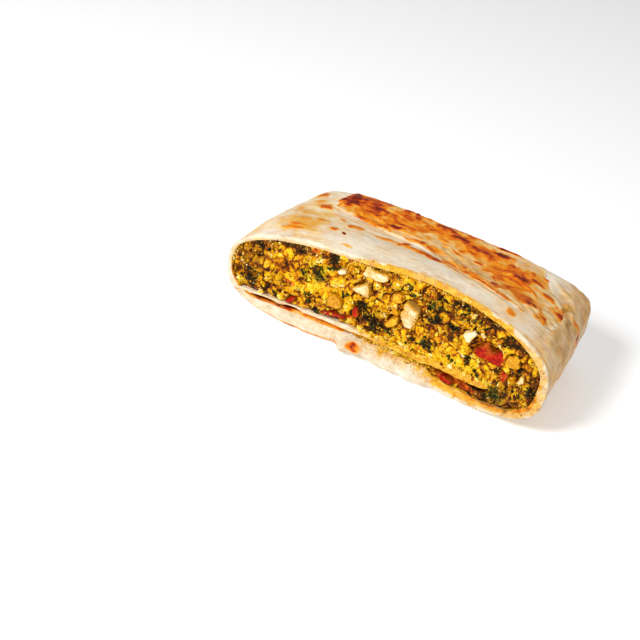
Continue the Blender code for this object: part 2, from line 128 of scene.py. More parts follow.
def within(value, span):
    """1 inside a span and 0 outside it. The span is its start, run in, end and run out in mm."""
    start, run_in, end, run_out = span
    return ramp_up(value, start, run_in) * ramp_down(value, end, run_out)


def oval(first, second, spot):
    """0 in the middle of an oval and 1 on its border. The spot is its middle and half sizes in mm."""
    middle_1, middle_2, half_1, half_2 = spot
    return ((first - middle_1 * MM) / (half_1 * MM)) ** 2 + ((second - middle_2 * MM) / (half_2 * MM)) ** 2


def crown(x, depth):
    """Height of the top along the middle of the section."""
    front = CROWN_LEFT + (CROWN_RIGHT - CROWN_LEFT) * smooth_step((x - CROWN_STEP_X) / CROWN_STEP_RUN)
    thinning = smooth_step(depth / CROWN_THIN_RUN)
    front_drop = FRONT_FALL * (1.0 - smooth_step(depth / FRONT_FALL_RUN))
    return front + (CROWN_BACK - front) * thinning - front_drop


def cut_y(x):
    """How far the cut lies in front of its middle, because its ends come forward."""
    return -CUT_HOLLOW * (2.0 * x / WIDTH) ** 2


def arch(x, depth):
    """How far the base is raised under the lip."""
    bump = np.exp(-((x - ARCH_X) / ARCH_HALF_WIDTH) ** 2)
    return ARCH_RISE * bump * (1.0 - smooth_step(depth / ARCH_RUN))


def squareness(depth):
    """Power of the superellipse that the upper part of the section follows."""
    return FRONT_SQUARENESS + (BACK_SQUARENESS - FRONT_SQUARENESS) * smooth_step(depth / SQUARE_RUN)


def sides(depth, scale):
    """Middle and half width of the outside at a depth behind the cut."""
    share = np.clip(depth / DEPTH, 0.0, 1.0)
    left = -WIDTH / 2 + LEFT_TAPER * share ** TAPER_POWER
    right = WIDTH / 2 - RIGHT_TAPER * share ** TAPER_POWER
    return (left + right) / 2, (right - left) / 2 - (1.0 - scale) * BACK_ROUND * BACK_DRAW


def section(angle, depth):
    """x and z of the outside, from the angle round the section and the depth behind the cut."""
    back = np.clip((depth - (DEPTH - BACK_ROUND)) / BACK_ROUND, 0.0, 1.0)
    scale = np.sqrt(np.maximum(1.0 - back * back, 0.0))
    middle, half = sides(depth, scale)
    c, s = np.cos(angle), np.sin(angle)
    base_square = BASE_SQUARENESS + (BACK_SQUARENESS - BASE_SQUARENESS) * smooth_step(back * 1.2 - 0.2)
    power = 2.0 / np.where(s >= 0, squareness(depth), base_square)
    x = middle + half * np.sign(c) * np.abs(c) ** power
    rise = np.abs(s) ** power * scale
    top = BELLY + (crown(x, depth) - BELLY) * rise
    base = np.maximum(BELLY - (BELLY + FLAT_CLEARANCE) * rise, 0.0) + arch(x, depth) * rise
    return x, np.where(s >= 0, top, base)


def over_back(x, run):
    """Depth and height of the outside above x, at a run from the cut over the back and under it."""
    turn = np.clip((run - (DEPTH - BACK_ROUND)) / BACK_ROUND, 0.0, math.pi)
    depth = np.minimum(run, DEPTH - BACK_ROUND) + BACK_ROUND * np.sin(turn)
    scale = np.abs(np.cos(turn))
    middle, half = sides(depth, scale)
    across = np.clip(np.abs(x - middle) / half, 0.0, 0.999)
    lower = turn > math.pi / 2
    power = np.where(lower, BASE_SQUARENESS, squareness(depth))
    rise = (1.0 - across ** power) ** (1.0 / power) * scale
    top = BELLY + (crown(x, depth) - BELLY) * rise
    base = np.maximum(BELLY - (BELLY + FLAT_CLEARANCE) * rise, 0.0)
    return depth, np.where(lower, base, top)


def wall(angle):
    """Thickness of the bread at an angle round the cut."""
    s = np.sin(angle)
    side = np.where(np.cos(angle) >= 0, RIGHT_WALL, LEFT_WALL)
    return side + (np.where(s >= 0, TOP_WALL, BASE_WALL) - side) * np.abs(s)


def tongue_top(x):
    """Height of the inner layer's upper face at the cut."""
    share = (x - TONGUE_START_X) / (TONGUE_TIP_X - TONGUE_START_X)
    return TONGUE_TOP_START + TONGUE_TOP_RISE * share * np.abs(share)


def tongue_under(x):
    """Height of the inner layer's lower face at the cut."""
    return np.minimum(TONGUE_UNDER_MAX, TONGUE_UNDER_START + TONGUE_UNDER_SLOPE * (x - TONGUE_UNDER_X))


def slit_face(x):
    """Height of the outer layer's upper face, under the inner layer."""
    widening = smooth_step((x - SLIT_WIDENS_X) / SLIT_WIDENS_RUN)
    return tongue_under(x) - SLIT_LEFT - (SLIT_RIGHT - SLIT_LEFT) * widening


def lip_share(x):
    """How much the outer layer stands forward as a lip, from 0 to 1."""
    return smooth_step((x - LIP_LEFT) / LIP_LEFT_RUN) * smooth_step((LIP_RIGHT - x) / LIP_RIGHT_RUN)


# ------------------------------------------------------------------------------- mesh helpers
def grain(points, size, seed=0.0, rough=0.0):
    """Soft noise between about -1 and 1 at each point, of the given lump size."""
    flat = np.asarray(points, float).reshape(-1, 3) / size + np.array((seed * 1.7, seed * 3.1, seed * 0.7))
    values = np.array([noise.noise(place) for place in map(Vector, flat)])
    if rough:
        values += rough * np.array([noise.noise(place) for place in map(Vector, flat * 2.1 + 5.0)])
    return values.reshape(np.asarray(points).shape[:-1])


def deselect():
    """Deselects every object, so that an operator acts on what is chosen next alone."""
    for item in bpy.context.scene.objects:
        item.select_set(False)


def activate(item):
    """Selects the item alone and makes it the active one."""
    deselect()
    item.select_set(True)
    bpy.context.view_layer.objects.active = item


def apply_modifier(item, kind, **settings):
    """Adds a modifier of this kind with its settings and applies it."""
    modifier = item.modifiers.new(kind, kind)
    for key, value in settings.items():
        setattr(modifier, key, value)
    activate(item)
    bpy.ops.object.modifier_apply(modifier=modifier.name)


def work(item, *steps):
    """Runs edit-mode operators, each given with its settings, on the whole of the item."""
    activate(item)
    bpy.ops.object.mode_set(mode="EDIT")
    for operator, settings in steps:
        bpy.ops.mesh.select_all(action="SELECT")
        operator(**settings)
    bpy.ops.object.mode_set(mode="OBJECT")


MERGE = (bpy.ops.mesh.remove_doubles, {"threshold": 0.00001})
FACE_OUTWARDS = (bpy.ops.mesh.normals_make_consistent, {"inside": False})


def shade_soft(item):
    """Shades the item smooth all over."""
    activate(item)
    bpy.ops.object.shade_smooth()
    return item


def set_attribute(item, name, values):
    """Gives the item one number per vertex, which its finish reads by name."""
    layer = item.data.attributes.get(name) or item.data.attributes.new(name, "FLOAT", "POINT")
    layer.data.foreach_set("value", np.asarray(values, np.float32).ravel())


def vectors_of(elements, name):
    """The named vector of each vertex or polygon, one row each."""
    found = np.empty(len(elements) * 3)
    elements.foreach_get(name, found)
    return found.reshape(-1, 3)


def coordinates(item):
    """Place of each vertex."""
    return vectors_of(item.data.vertices, "co")


def normals_of(item):
    """Normal of each vertex."""
    return vectors_of(item.data.vertices, "normal")


def move_to(item, points):
    """Puts the vertices at the points."""
    item.data.vertices.foreach_set("co", np.asarray(points, np.float32).ravel())
    item.data.update()


def wrapped_grid(name, points, attributes, closed=False):
    """A primitive grid laid over rows of points. Closed joins its sides into a tube."""
    rows, columns = points.shape[:2]
    deselect()
    bpy.ops.mesh.primitive_grid_add(x_subdivisions=columns - 1, y_subdivisions=rows - 1, size=1.0)
    item = bpy.context.object
    item.name = item.data.name = name
    move_to(item, points.reshape(-1, 3))
    for key, values in attributes.items():
        set_attribute(item, key, values)
    if closed:
        work(item, MERGE, FACE_OUTWARDS)
    return shade_soft(item)


def grid_normals(points):
    """Unit normals of a grid of points, turned away from the middle of the half."""
    middle = np.array([0.0, CUT + DEPTH / 2, BELLY])
    normal = np.cross(np.gradient(points, axis=1), np.gradient(points, axis=0))
    normal /= np.maximum(np.linalg.norm(normal, axis=2, keepdims=True), 1e-12)
    return normal * (1.0 if ((points - middle) * normal).sum() > 0 else -1.0)


def curve_through(stations, count, ease):
    """A run of points through stations given in millimetres, eased over a share of its length."""
    path = np.array(stations, float) * MM
    reach = np.concatenate(([0.0], np.cumsum(np.linalg.norm(np.diff(path, axis=0), axis=1))))
    marks = np.linspace(0.0, reach[-1], count)
    smooth = np.stack([np.interp(marks, reach, path[:, k]) for k in range(path.shape[1])], axis=1)
    width = max(int(count * ease), 1)
    kernel = np.ones(2 * width + 1) / (2 * width + 1)
    for _ in range(2):
        padded = np.pad(smooth, ((width, width), (0, 0)), mode="reflect", reflect_type="odd")
        smooth = np.stack([np.convolve(column, kernel, "valid") for column in padded.T], axis=1)
    return smooth


def finish_piece(item, node, look):
    """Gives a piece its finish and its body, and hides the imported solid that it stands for."""
    item.data.materials.clear()
    item.data.materials.append(look)
    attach(item, "root")
    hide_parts(node)


# ----------------------------------------------------------------------------- material helpers
class Value:
    """A number or colour socket, for sums written as Python expressions."""

    def __init__(self, look, socket):
        self.look, self.socket = look, socket

    def maths(self, operation, first, second):
        """One Math node over two values."""
        return self.look.node("Math", {0: first, 1: second}, operation=operation)

    def __add__(self, other):
        return self.maths("ADD", self, other)

    __radd__ = __add__

    def __mul__(self, other):
        return self.maths("MULTIPLY", self, other)

    __rmul__ = __mul__

    def __sub__(self, other):
        return self.maths("SUBTRACT", self, other)

    def __rsub__(self, other):
        return self.maths("SUBTRACT", other, self)

    def step(self, low, high):
        """0 at low, 1 at high and smooth between them."""
        return self.look.node(
            "MapRange", {"Value": self, "From Min": low, "From Max": high}, interpolation_type="SMOOTHSTEP"
        )


class Look:
    """A material built up from nodes over one Principled shader."""

    def __init__(self, name, **constants):
        self.material = bpy.data.materials.new(name)
        self.material.use_nodes = True
        self.tree = self.material.node_tree
        self.shader = self.tree.nodes["Principled BSDF"]
        for key, value in constants.items():
            self.shader.inputs[key.replace("_", " ").title().replace("Ior", "IOR")].default_value = value
        self.place = self.node("TexCoord", out="Object")

    def node(self, kind, sockets=None, out=0, **settings):
        """Adds a node with its settings, feeds its sockets and gives back one output."""
        made = self.tree.nodes.new("ShaderNode" + kind)
        for key, value in settings.items():
            if key == "stops":
                self.set_stops(made.color_ramp, value)
            else:
                setattr(made, key, value)
        for key, value in (sockets or {}).items():
            self.feed(made.inputs[key], value)
        return Value(self, made.outputs[out])

    def set_stops(self, ramp, stops):
        """Sets the positions and colours of a colour ramp."""
        while len(ramp.elements) < len(stops):
            ramp.elements.new(0.5)
        for element, (position, color) in zip(ramp.elements, stops):
            element.position = position
            element.color = tone(color)

    def feed(self, socket, value):
        """Links a value to a socket, or sets the socket to a plain number or colour."""
        if isinstance(value, Value):
            self.tree.links.new(value.socket, socket)
        else:
            socket.default_value = value

    def stretched(self, factors):
        """The place on the object, scaled along each axis."""
        return self.node("VectorMath", {0: self.place, 1: factors}, operation="MULTIPLY")

    def noise(self, scale, detail=2.0, roughness=0.5, place=None, distortion=0.0):
        """Cloudy noise between 0 and 1."""
        sockets = {
            "Vector": place or self.place, "Scale": scale, "Detail": detail,
            "Roughness": roughness, "Distortion": distortion,
        }
        return self.node("TexNoise", sockets)

    def attribute(self, name):
        """The number that the mesh carries under this name."""
        return self.node("Attribute", out="Fac", attribute_name=name)

    def ramp(self, value, stops):
        """A colour ramp over a value."""
        return self.node("ValToRGB", {"Fac": value}, stops=stops)

    def mix(self, share, first, second):
        """The first colour, giving way to the second by the share."""
        return self.node("Mix", {0: share, 6: first, 7: second}, out=2, data_type="RGBA")

    def finish(self, color, roughness, height=None, distance=0.3 * MM, strength=1.0):
        """Feeds the shader, with a bump of the given distance where there is a height."""
        self.feed(self.shader.inputs["Base Color"], color)
        self.feed(self.shader.inputs["Roughness"], roughness)
        if height is not None:
            sockets = {"Height": height, "Distance": distance, "Strength": strength}
            self.feed(self.shader.inputs["Normal"], self.node("Bump", sockets, out="Normal"))
        return self.material


def tone(rgb):
    """A colour given as 0-255 screen values, made linear, with full alpha."""
    return (*((v / 255 / 12.92) if v <= 10 else ((v / 255 + 0.055) / 1.055) ** 2.4 for v in rgb), 1.0)


# ----------------------------------------------------------------- toasted patches and wrinkles
# place across and behind the cut, half length, half width (mm), turn (degrees), darkness or strength
FLAP_PATCHES = (
    (-32.8, 35.2, 4.6, 4.0, 0, 1.05), (-33.5, 41.0, 3.4, 3.6, 80, 0.80), (-22.4, 37.4, 3.8, 1.9, 0, 0.84),
    (-23.0, 33.0, 4.4, 2.0, -10, 0.68), (-13.5, 30.2, 5.0, 1.4, 8, 0.98), (-16.6, 28.6, 1.6, 1.6, 40, 1.0),
    (-10.5, 32.8, 3.6, 1.2, -4, 0.74), (-29.0, 40.5, 1.8, 3.4, 20, 0.82), (-15.0, 44.5, 1.4, 5.0, -18, 0.80),
    (-10.6, 42.0, 1.2, 4.0, 20, 0.86), (0.0, 42.2, 6.0, 1.5, 0, 0.88), (6.0, 39.6, 3.6, 1.2, 4, 0.98),
    (14.7, 37.0, 4.6, 1.7, -6, 0.90), (12.6, 33.8, 3.2, 0.9, 6, 0.74), (21.0, 39.5, 3.2, 1.3, -6, 1.10),
    (2.6, 34.2, 2.6, 1.1, -8, 0.74), (26.0, 34.6, 1.3, 3.0, 0, 0.76), (29.5, 30.6, 4.8, 1.8, 4, 0.95),
    (16.8, 28.8, 2.1, 1.0, 0, 0.78), (41.8, 29.0, 2.4, 1.3, -24, 0.82), (36.0, 33.7, 2.8, 1.0, -10, 0.74),
    (38.0, 38.4, 2.6, 0.9, 8, 0.82), (36.5, 21.4, 3.4, 2.0, -16, 0.66), (38.6, 17.6, 2.3, 2.4, 0, 0.84),
    (31.5, 27.4, 6.0, 2.0, -14, 0.50), (26.4, 17.4, 1.8, 3.0, 24, 0.56), (23.3, 13.5, 2.6, 0.8, -22, 0.86),
    (29.0, 11.6, 3.2, 0.6, -8, 0.82), (15.4, 20.6, 3.4, 1.0, -34, 0.74), (24.6, 23.6, 1.0, 3.2, 30, 0.66),
    (48.3, 27.0, 1.6, 0.8, -20, 1.05), (47.2, 24.6, 2.5, 2.2, 0, 0.74), (45.0, 14.4, 1.3, 1.9, 18, 0.80),
    (42.8, 13.4, 1.4, 0.9, 0, 0.66), (-24.0, 27.3, 6.0, 0.8, -12, 0.72), (-3.0, 25.6, 4.6, 0.8, -2, 0.80),
    (-3.0, 27.4, 3.2, 0.7, 0, 0.76), (6.0, 45.8, 9.0, 1.6, 0, 0.86), (-22.0, 47.5, 9.0, 1.8, 0, 0.84),
    (22.0, 44.6, 6.0, 1.6, 0, 0.80), (9.0, 29.5, 3.0, 0.8, -20, 0.52), (33.5, 37.0, 1.0, 2.4, 10, 0.70),
)
FLAP_GLOW = (   # broad orange areas round the dark patches
    (-28.0, 38.0, 11.0, 8.5, 0, 0.62), (-13.0, 37.0, 12.0, 9.0, 0, 0.52), (0.0, 40.0, 13.0, 6.0, 0, 0.55),
    (13.0, 36.5, 12.0, 6.0, -6, 0.54), (28.0, 30.0, 11.0, 7.5, -8, 0.56), (34.0, 21.5, 8.0, 6.5, -20, 0.46),
    (-25.0, 30.5, 12.0, 3.4, -14, 0.60), (0.0, 26.0, 6.5, 2.0, 0, 0.44), (17.0, 18.5, 5.0, 2.6, -36, 0.42),
    (47.0, 24.5, 3.4, 3.4, 0, 0.44), (26.0, 14.0, 6.0, 1.4, -16, 0.40), (44.0, 15.0, 2.8, 3.0, 0, 0.40),
    (36.0, 35.5, 5.0, 4.0, 0, 0.40), (24.0, 13.4, 16.0, 2.2, -14, 0.46), (11.0, 18.5, 6.0, 2.4, -42, 0.40),
)
SKIN_PATCHES = (
    (-38.9, 7.2, 3.4, 1.2, 2, 0.56), (-39.2, 9.8, 3.1, 1.3, 0, 0.48), (-39, 14.6, 3.5, 1.6, 0, 0.37),
    (-34, 16.6, 3.1, 1.6, 10, 0.37), (-38.8, 29, 2.4, 2.3, 0, 0.53), (-28.8, 22, 1.8, 1.0, -20, 0.37),
    (-44.3, 38.7, 2.1, 2.9, 10, 0.46), (-22.8, 19.6, 2.7, 1.8, 6, 0.54), (-24.8, 18.6, 0.9, 1.6, 0, 0.62),
    (-27.5, 12.2, 1.8, 1.3, -10, 0.59), (-23.6, 10.9, 0.5, 0.7, 30, 1.50), (-13, 19.2, 5.2, 1.6, 10, 0.42),
    (-6.2, 20.4, 1.3, 2.6, -24, 0.80), (-1.5, 19, 4.7, 2.1, -4, 0.59), (4.8, 18.3, 5.2, 2.0, -22, 0.69),
    (11.5, 14.4, 4.2, 1.0, -30, 0.48), (36.5, 6.6, 1.7, 2.5, 20, 0.40),
    (2, 8.6, 2.4, 0.8, -6, 0.19), (-9, 12, 3.1, 0.8, -6, 0.18), (-45.5, 24, 1.9, 3.4, 8, 0.32),
    (-42, 32.5, 2.8, 1.8, 20, 0.35), (-41, 20.5, 3.1, 1.2, 8, 0.27), (22, 7.4, 1.4, 1.2, 0, 0.22),
    (-32, 24.5, 2.4, 0.9, -10, 0.24), (-46.5, 14.5, 1.7, 2.9, 0, 0.29),
)
SKIN_HAZE = (   # faint warm areas
    (-38.0, 13.0, 9.0, 9.0, 0, 1.05), (-26.0, 17.0, 9.0, 6.0, 0, 0.45), (-40.0, 29.0, 8.0, 9.0, 0, 0.70),
    (-38.0, 22.0, 8.0, 5.0, 0, 0.95), (-20.0, 24.0, 14.0, 3.0, -6, 0.55), (-6.0, 18.5, 14.0, 3.4, -6, 0.60),
    (12.0, 14.5, 8.0, 2.6, -30, 0.55), (24.0, 10.6, 14.0, 2.0, -12, 0.60), (37.0, 6.5, 4.6, 4.0, 0, 0.50),
    (-30.0, 2.5, 8.0, 2.0, 0, 0.34), (-45.0, 38.0, 5.0, 6.0, 0, 0.50), (-2.0, 10.0, 10.0, 4.0, 0, 0.20),
    (46.0, 20.0, 5.0, 8.0, 0, 0.60),
)
FLAP_AGED = (   # dull, weathered areas
    (7.0, 26.0, 13.0, 5.5, -30, 0.75), (20.0, 21.0, 8.0, 3.0, -30, 0.60), (-2.0, 31.0, 10.0, 2.6, 0, 0.50),
    (40.0, 36.0, 9.0, 6.0, 0, 0.60), (-32.0, 29.5, 5.0, 1.6, -10, 0.3),
)
OIL_SPOTS = (
    (-32.0, 2.4, 4.0, 1.4, 0, 0.36), (-18.6, 3.9, 1.6, 0.8, -6, 0.85), (7.5, 1.9, 1.0, 0.7, 0, 0.7),
    (16.2, 0.9, 1.4, 1.0, 0, 0.7), (13.0, 2.4, 2.6, 0.8, 0, 0.40), (47.0, 1.0, 6.0, 0.8, 0, 0.80),
    (-27.0, 0.6, 3.0, 0.6, 0, 0.50), (0.5, 0.5, 4.0, 0.7, 0, 0.70), (24.0, 0.5, 8.0, 0.6, 0, 0.75),
    (36.0, 0.8, 6.0, 0.6, 0, 0.60), (-9.0, 0.3, 4.0, 0.4, 0, 0.5), (5.0, 5.4, 2.6, 0.5, 0, 0.14),
)
# stations across and behind the cut, then height, half width (all mm) and darkness
FLAP_WRINKLES = (
    (((-30.0, 28.8), (-17.0, 26.4), (-5.0, 25.5), (1.0, 25.0)), 0.30, 0.55, 0.62),
    (((2.0, 28.6), (8.0, 24.6), (13.0, 19.6), (17.0, 14.6)), 0.34, 0.60, 0.34),
    (((4.0, 32.0), (11.0, 28.0), (16.0, 24.0), (20.0, 19.5)), 0.26, 0.60, 0.30),
    (((13.0, 23.0), (18.0, 18.6), (23.0, 16.4), (28.0, 15.4)), 0.30, 0.55, 0.56),
    (((23.5, 25.5), (26.5, 22.0), (29.5, 18.0)), 0.30, 0.60, 0.62),
    (((24.0, 31.5), (30.0, 30.2), (37.0, 27.0), (41.0, 22.0)), 0.28, 0.70, 0.60),
    (((-26.0, 33.5), (-18.0, 31.0), (-8.0, 29.6), (-1.0, 29.0)), 0.24, 0.60, 0.52),
    (((16.0, 13.8), (24.0, 13.2), (31.0, 11.8), (38.0, 11.4)), 0.24, 0.45, 0.50),
    (((-36.0, 40.0), (-24.0, 41.0), (-8.0, 39.0)), 0.20, 0.80, 0.40),
    (((6.0, 37.0), (16.0, 34.5), (25.0, 33.5)), 0.24, 0.60, 0.52),
)
FLAP_CREASES = (   # dull slanting creases
    (((0.0, 31.5), (6.0, 27.0), (11.0, 21.5), (15.5, 15.8)), 0.30, 0.55, 1.0),
    (((4.5, 30.5), (10.0, 25.6), (14.0, 20.5), (18.5, 14.6)), 0.26, 0.40, 0.85),
    (((10.0, 30.5), (15.0, 26.5), (20.0, 21.0)), 0.26, 0.45, 0.85),
    (((-8.0, 30.2), (0.0, 30.0), (7.0, 31.6), (16.0, 31.4)), 0.20, 0.45, 0.75),
    (((38.0, 40.0), (43.0, 36.0), (46.0, 30.0)), 0.30, 0.60, 0.80),
)
SKIN_WRINKLES = (
    (((-17.0, 19.0), (-8.0, 20.0), (2.0, 18.6), (9.0, 15.8), (14.0, 13.6)), 0.28, 0.60, 0.40),
    (((-30.0, 24.0), (-20.0, 22.4), (-8.0, 22.2)), 0.16, 0.70, 0.12),
    (((16.0, 11.2), (25.0, 9.8), (36.0, 8.4)), 0.16, 0.60, 0.16),
    (((51.0, 26.0), (52.5, 18.0), (53.0, 9.0)), 0.40, 0.90, 0.16),
    (((45.0, 33.0), (50.0, 30.0), (53.5, 24.0)), 0.40, 0.80, 0.20),
    (((38.0, 41.0), (46.0, 37.0), (52.0, 31.0)), 0.36, 0.90, 0.22),
)


PATCH_END, PATCH_FADE, PATCH_WOBBLE = 1.55, 1.25, 0.7    # in half sizes of the patch


def patch_share(reach, wobble):
    """1 in the middle of a patch and 0 past its uneven border, from the distance in half sizes."""
    return smooth_step((PATCH_END - (reach + PATCH_WOBBLE * wobble)) / PATCH_FADE)


def patch_field(x, depth, patches, wobble):
    """The darkest patch at each place, with uneven edges."""
    field = np.zeros_like(x)
    for cx, cy, long, short, turn, dark in patches:
        a = math.radians(turn)
        dx, dy = x / MM - cx, depth / MM - cy
        along = (dx * math.cos(a) + dy * math.sin(a)) / long
        across = (-dx * math.sin(a) + dy * math.cos(a)) / short
        field = np.maximum(field, dark * patch_share(np.sqrt(along ** 2 + across ** 2), wobble))
    return field


def strewn_patches(points, allowed, count, seed, wobble):
    """Toasted patches strewn over the places allowed, longer across than they are deep."""
    rng = np.random.default_rng(seed)
    field = np.zeros(points.shape[:2])
    for spot in points[allowed][rng.integers(0, allowed.sum(), count)]:
        long, short, dark = rng.uniform(1.6, 4.8), rng.uniform(0.8, 1.8), rng.uniform(0.45, 0.95)
        away = (points - spot) / MM
        reach = np.sqrt((away[..., 0] / long) ** 2 + (away[..., 1] ** 2 + away[..., 2] ** 2) / short ** 2)
        field = np.maximum(field, dark * patch_share(reach, wobble))
    return field


WRINKLE_WANDER, WRINKLE_END = 0.5 * MM, 3.0 * MM    # how far a crease strays, and how its ends die out


def wrinkle_field(x, depth, wrinkles, wobble):
    """Height in metres and toast of the raised creases at each place."""
    height, brown = np.zeros_like(x), np.zeros_like(x)
    for stations, rise, width, dark in wrinkles:
        path = np.array(stations) * MM
        (start, first), (end, last) = path[0], path[-1]
        line = np.interp(x, path[:, 0], path[:, 1])
        slope = (last - first) / (end - start)
        gap = (depth - line + WRINKLE_WANDER * wobble) / math.hypot(1.0, slope) / (width * MM)
        ends = smooth_step((x - start) / WRINKLE_END) * smooth_step((end - x) / WRINKLE_END)
        height += rise * MM * (np.exp(-gap ** 2) * ends)
        brown = np.maximum(brown, dark * np.exp(-(gap * 0.8) ** 2) * ends * (0.8 + 0.5 * wobble))
    return height, brown


# every grain is a lump size, a seed and, where there is one, a share of finer noise
BROAD_GRAIN, FINE_GRAIN = (15.0 * MM, 1.0), (5.5 * MM, 2.0, 0.5)
TOAST_GRAIN, SMALL_GRAIN = (4.0 * MM, 2.0, 0.5), (1.7 * MM, 4.0)
BROAD_LIFT, FINE_LIFT = 0.40 * MM, 0.13 * MM


def body_lift(points, depth):
    """Gentle unevenness that the whole of the bread shares, in metres."""
    lift = BROAD_LIFT * grain(points, *BROAD_GRAIN) + FINE_LIFT * grain(points, *FINE_GRAIN)
    return lift * ramp_up(points[..., 2], 0.0, 4.0) * ramp_up(depth, 0.3, 4.0)


def toast_grain(points):
    """Soft and small noise over the bread, and the unevenness of toast that they make."""
    mid, small = grain(points, *TOAST_GRAIN), grain(points, *SMALL_GRAIN)
    return mid, small, 0.65 * mid + 0.60 * small


# ---------------------------------------------------------------------------------- bread skin
HALF_AROUND, ANGLE_SAMPLES = 280, 4001
SKIN_STEP = 0.56 * MM
OUTER_CORNER, INNER_CORNER = 0.55 * MM, 0.30 * MM
RIM_SHARES = (0.0, 0.03, 0.07, 0.12, 0.18, 0.25, 0.33, 0.42, 0.51, 0.60, 0.69, 0.78, 0.86, 0.92, 0.97, 1.0)
INNER_DEPTHS = (9.0 * MM, 6.0 * MM, 4.0 * MM, 2.4 * MM, 1.4 * MM, 0.8 * MM)
BACK_RINGS = 22
RIM_WAVE, RIM_RIPPLE = 0.30 * MM, 0.12 * MM
LIP_SCALLOP, LIP_NOSE, LIP_RUN = 0.95 * MM, 0.5 * MM, 12.0 * MM
FLAP_BED, TOAST_STAND = 0.35 * MM, 0.16 * MM    # how the skin yields under the flap, and toast puffs up
SIDE_FOLDS, SKIN_PORES = 0.55 * MM, 0.05 * MM
SIDE_SPOT = (28.0, 22.5, 1.5, 3.8)              # browned spot on the right side, by depth and height
SHOULDER = (29.0, 22.0, 4.5, 10.0)              # dull shoulder of the right side, by height and depth
BLISTER = (-6.8, 4.8, 3.5, 1.45)                # toasted blister on the lip, across and up
STREWN_COUNT, STREWN_SEED = 64, 14
RIM_GRAIN, RIM_FINE_GRAIN = (7.0 * MM, 3.0, 0.6), (2.6 * MM, 9.0)
FOLD_GRAIN, OIL_GRAIN = (3.2 * MM, 8.0, 0.5), (2.6 * MM, 91.0, 0.7)
# spans along the cut (mm): start, run in, end, run out
THIN_RIM, OILY_TOP, OILIEST_TOP = (15.0, 5.0, 54.0, 8.0), (-16.0, 6.0, 44.0, 8.0), (-6.0, 4.0, 34.0, 6.0)
# places along the cut or behind it (mm) where something sets in, each with its run
THINNEST_FROM, SAG_FROM, SAG_BEHIND = (28.0, 10.0), (38.0, 9.0), (3.0, 6.0)
WARM_RIGHT, WARM_LEFT, OILY_EDGE_FROM = (42.0, 8.0), (-45.0, 6.0), (-16.0, 8.0)
BASE_TOAST_AND_SHADE_TO, CRUST_FROM, GAP_SHADE_TO = (-11.0, 3.0), (24.0, 10.0), (-20.0, 4.0)
UNDERSIDE_FROM, BACK_FROM, SIDE_FROM = (20.0, 14.0), (47.0, 3.0), 45.0 * MM
OIL_RIGHT, OIL_FAR_RIGHT, OIL_LIP, DRY_CORNER = (16.0, 10.0), (40.0, 8.0), (-8.0, 5.0), -44.0 * MM


def even_angles():
    """Angles round the section in even steps, the same above and below its widest line."""
    dense = np.linspace(0.0, math.pi, ANGLE_SAMPLES)
    reach = np.zeros(len(dense))
    for sign in (1.0, -1.0):
        x, z = section(sign * dense, np.zeros_like(dense))
        reach[1:] += np.cumsum(np.hypot(np.diff(x), np.diff(z)))
    upper = np.interp(np.linspace(0.0, reach[-1], HALF_AROUND + 1), reach, dense)
    return np.concatenate((upper, 2.0 * math.pi - upper[-2::-1]))


def inward_of(x, z):
    """Unit directions into the section from a closed outline that runs anticlockwise."""
    dx = np.roll(x[:-1], -2) - np.roll(x[:-1], 2)
    dz = np.roll(z[:-1], -2) - np.roll(z[:-1], 2)
    size = np.hypot(dx, dz) + 1e-12
    inward = np.stack([-dz / size, dx / size], axis=1)
    return np.concatenate((inward, inward[:1]))


def rim_wave(x, z):
    """Broad and fine unevenness along the rim."""
    places = np.stack([x, z * 0.0, z], axis=1)
    return grain(places, *RIM_GRAIN), grain(places, *RIM_FINE_GRAIN)


def rim_thinning(x, angle):
    """How much thinner the rim is at the lower right, in metres."""
    below = smooth_step(-np.sin(angle) / 0.5)
    return below * within(x, THIN_RIM) * (0.5 + 0.9 * ramp_up(x, *THINNEST_FROM)) * MM


def cut_outline(angle):
    """Outer and inner outline of the bread at the cut."""
    x, z = section(angle, np.zeros_like(angle))
    wave, ripple = rim_wave(x, z)
    inward = inward_of(x, z)
    thickness = wall(angle) * (1.0 + 0.14 * wave + 0.06 * ripple) - rim_thinning(x, angle)
    inner_x, inner_z = x + inward[:, 0] * thickness, z + inward[:, 1] * thickness
    floor = slit_face(inner_x) + RIM_RIPPLE * ripple
    filled = 1.0 - smooth_step((inner_x - POCKET_X) / POCKET_RUN)
    below = (np.sin(angle) < 0) & (inner_z < floor)
    inner_z = np.where(below, inner_z + (floor - inner_z) * filled, inner_z)
    return x, z, inner_x, inner_z, wave, ripple


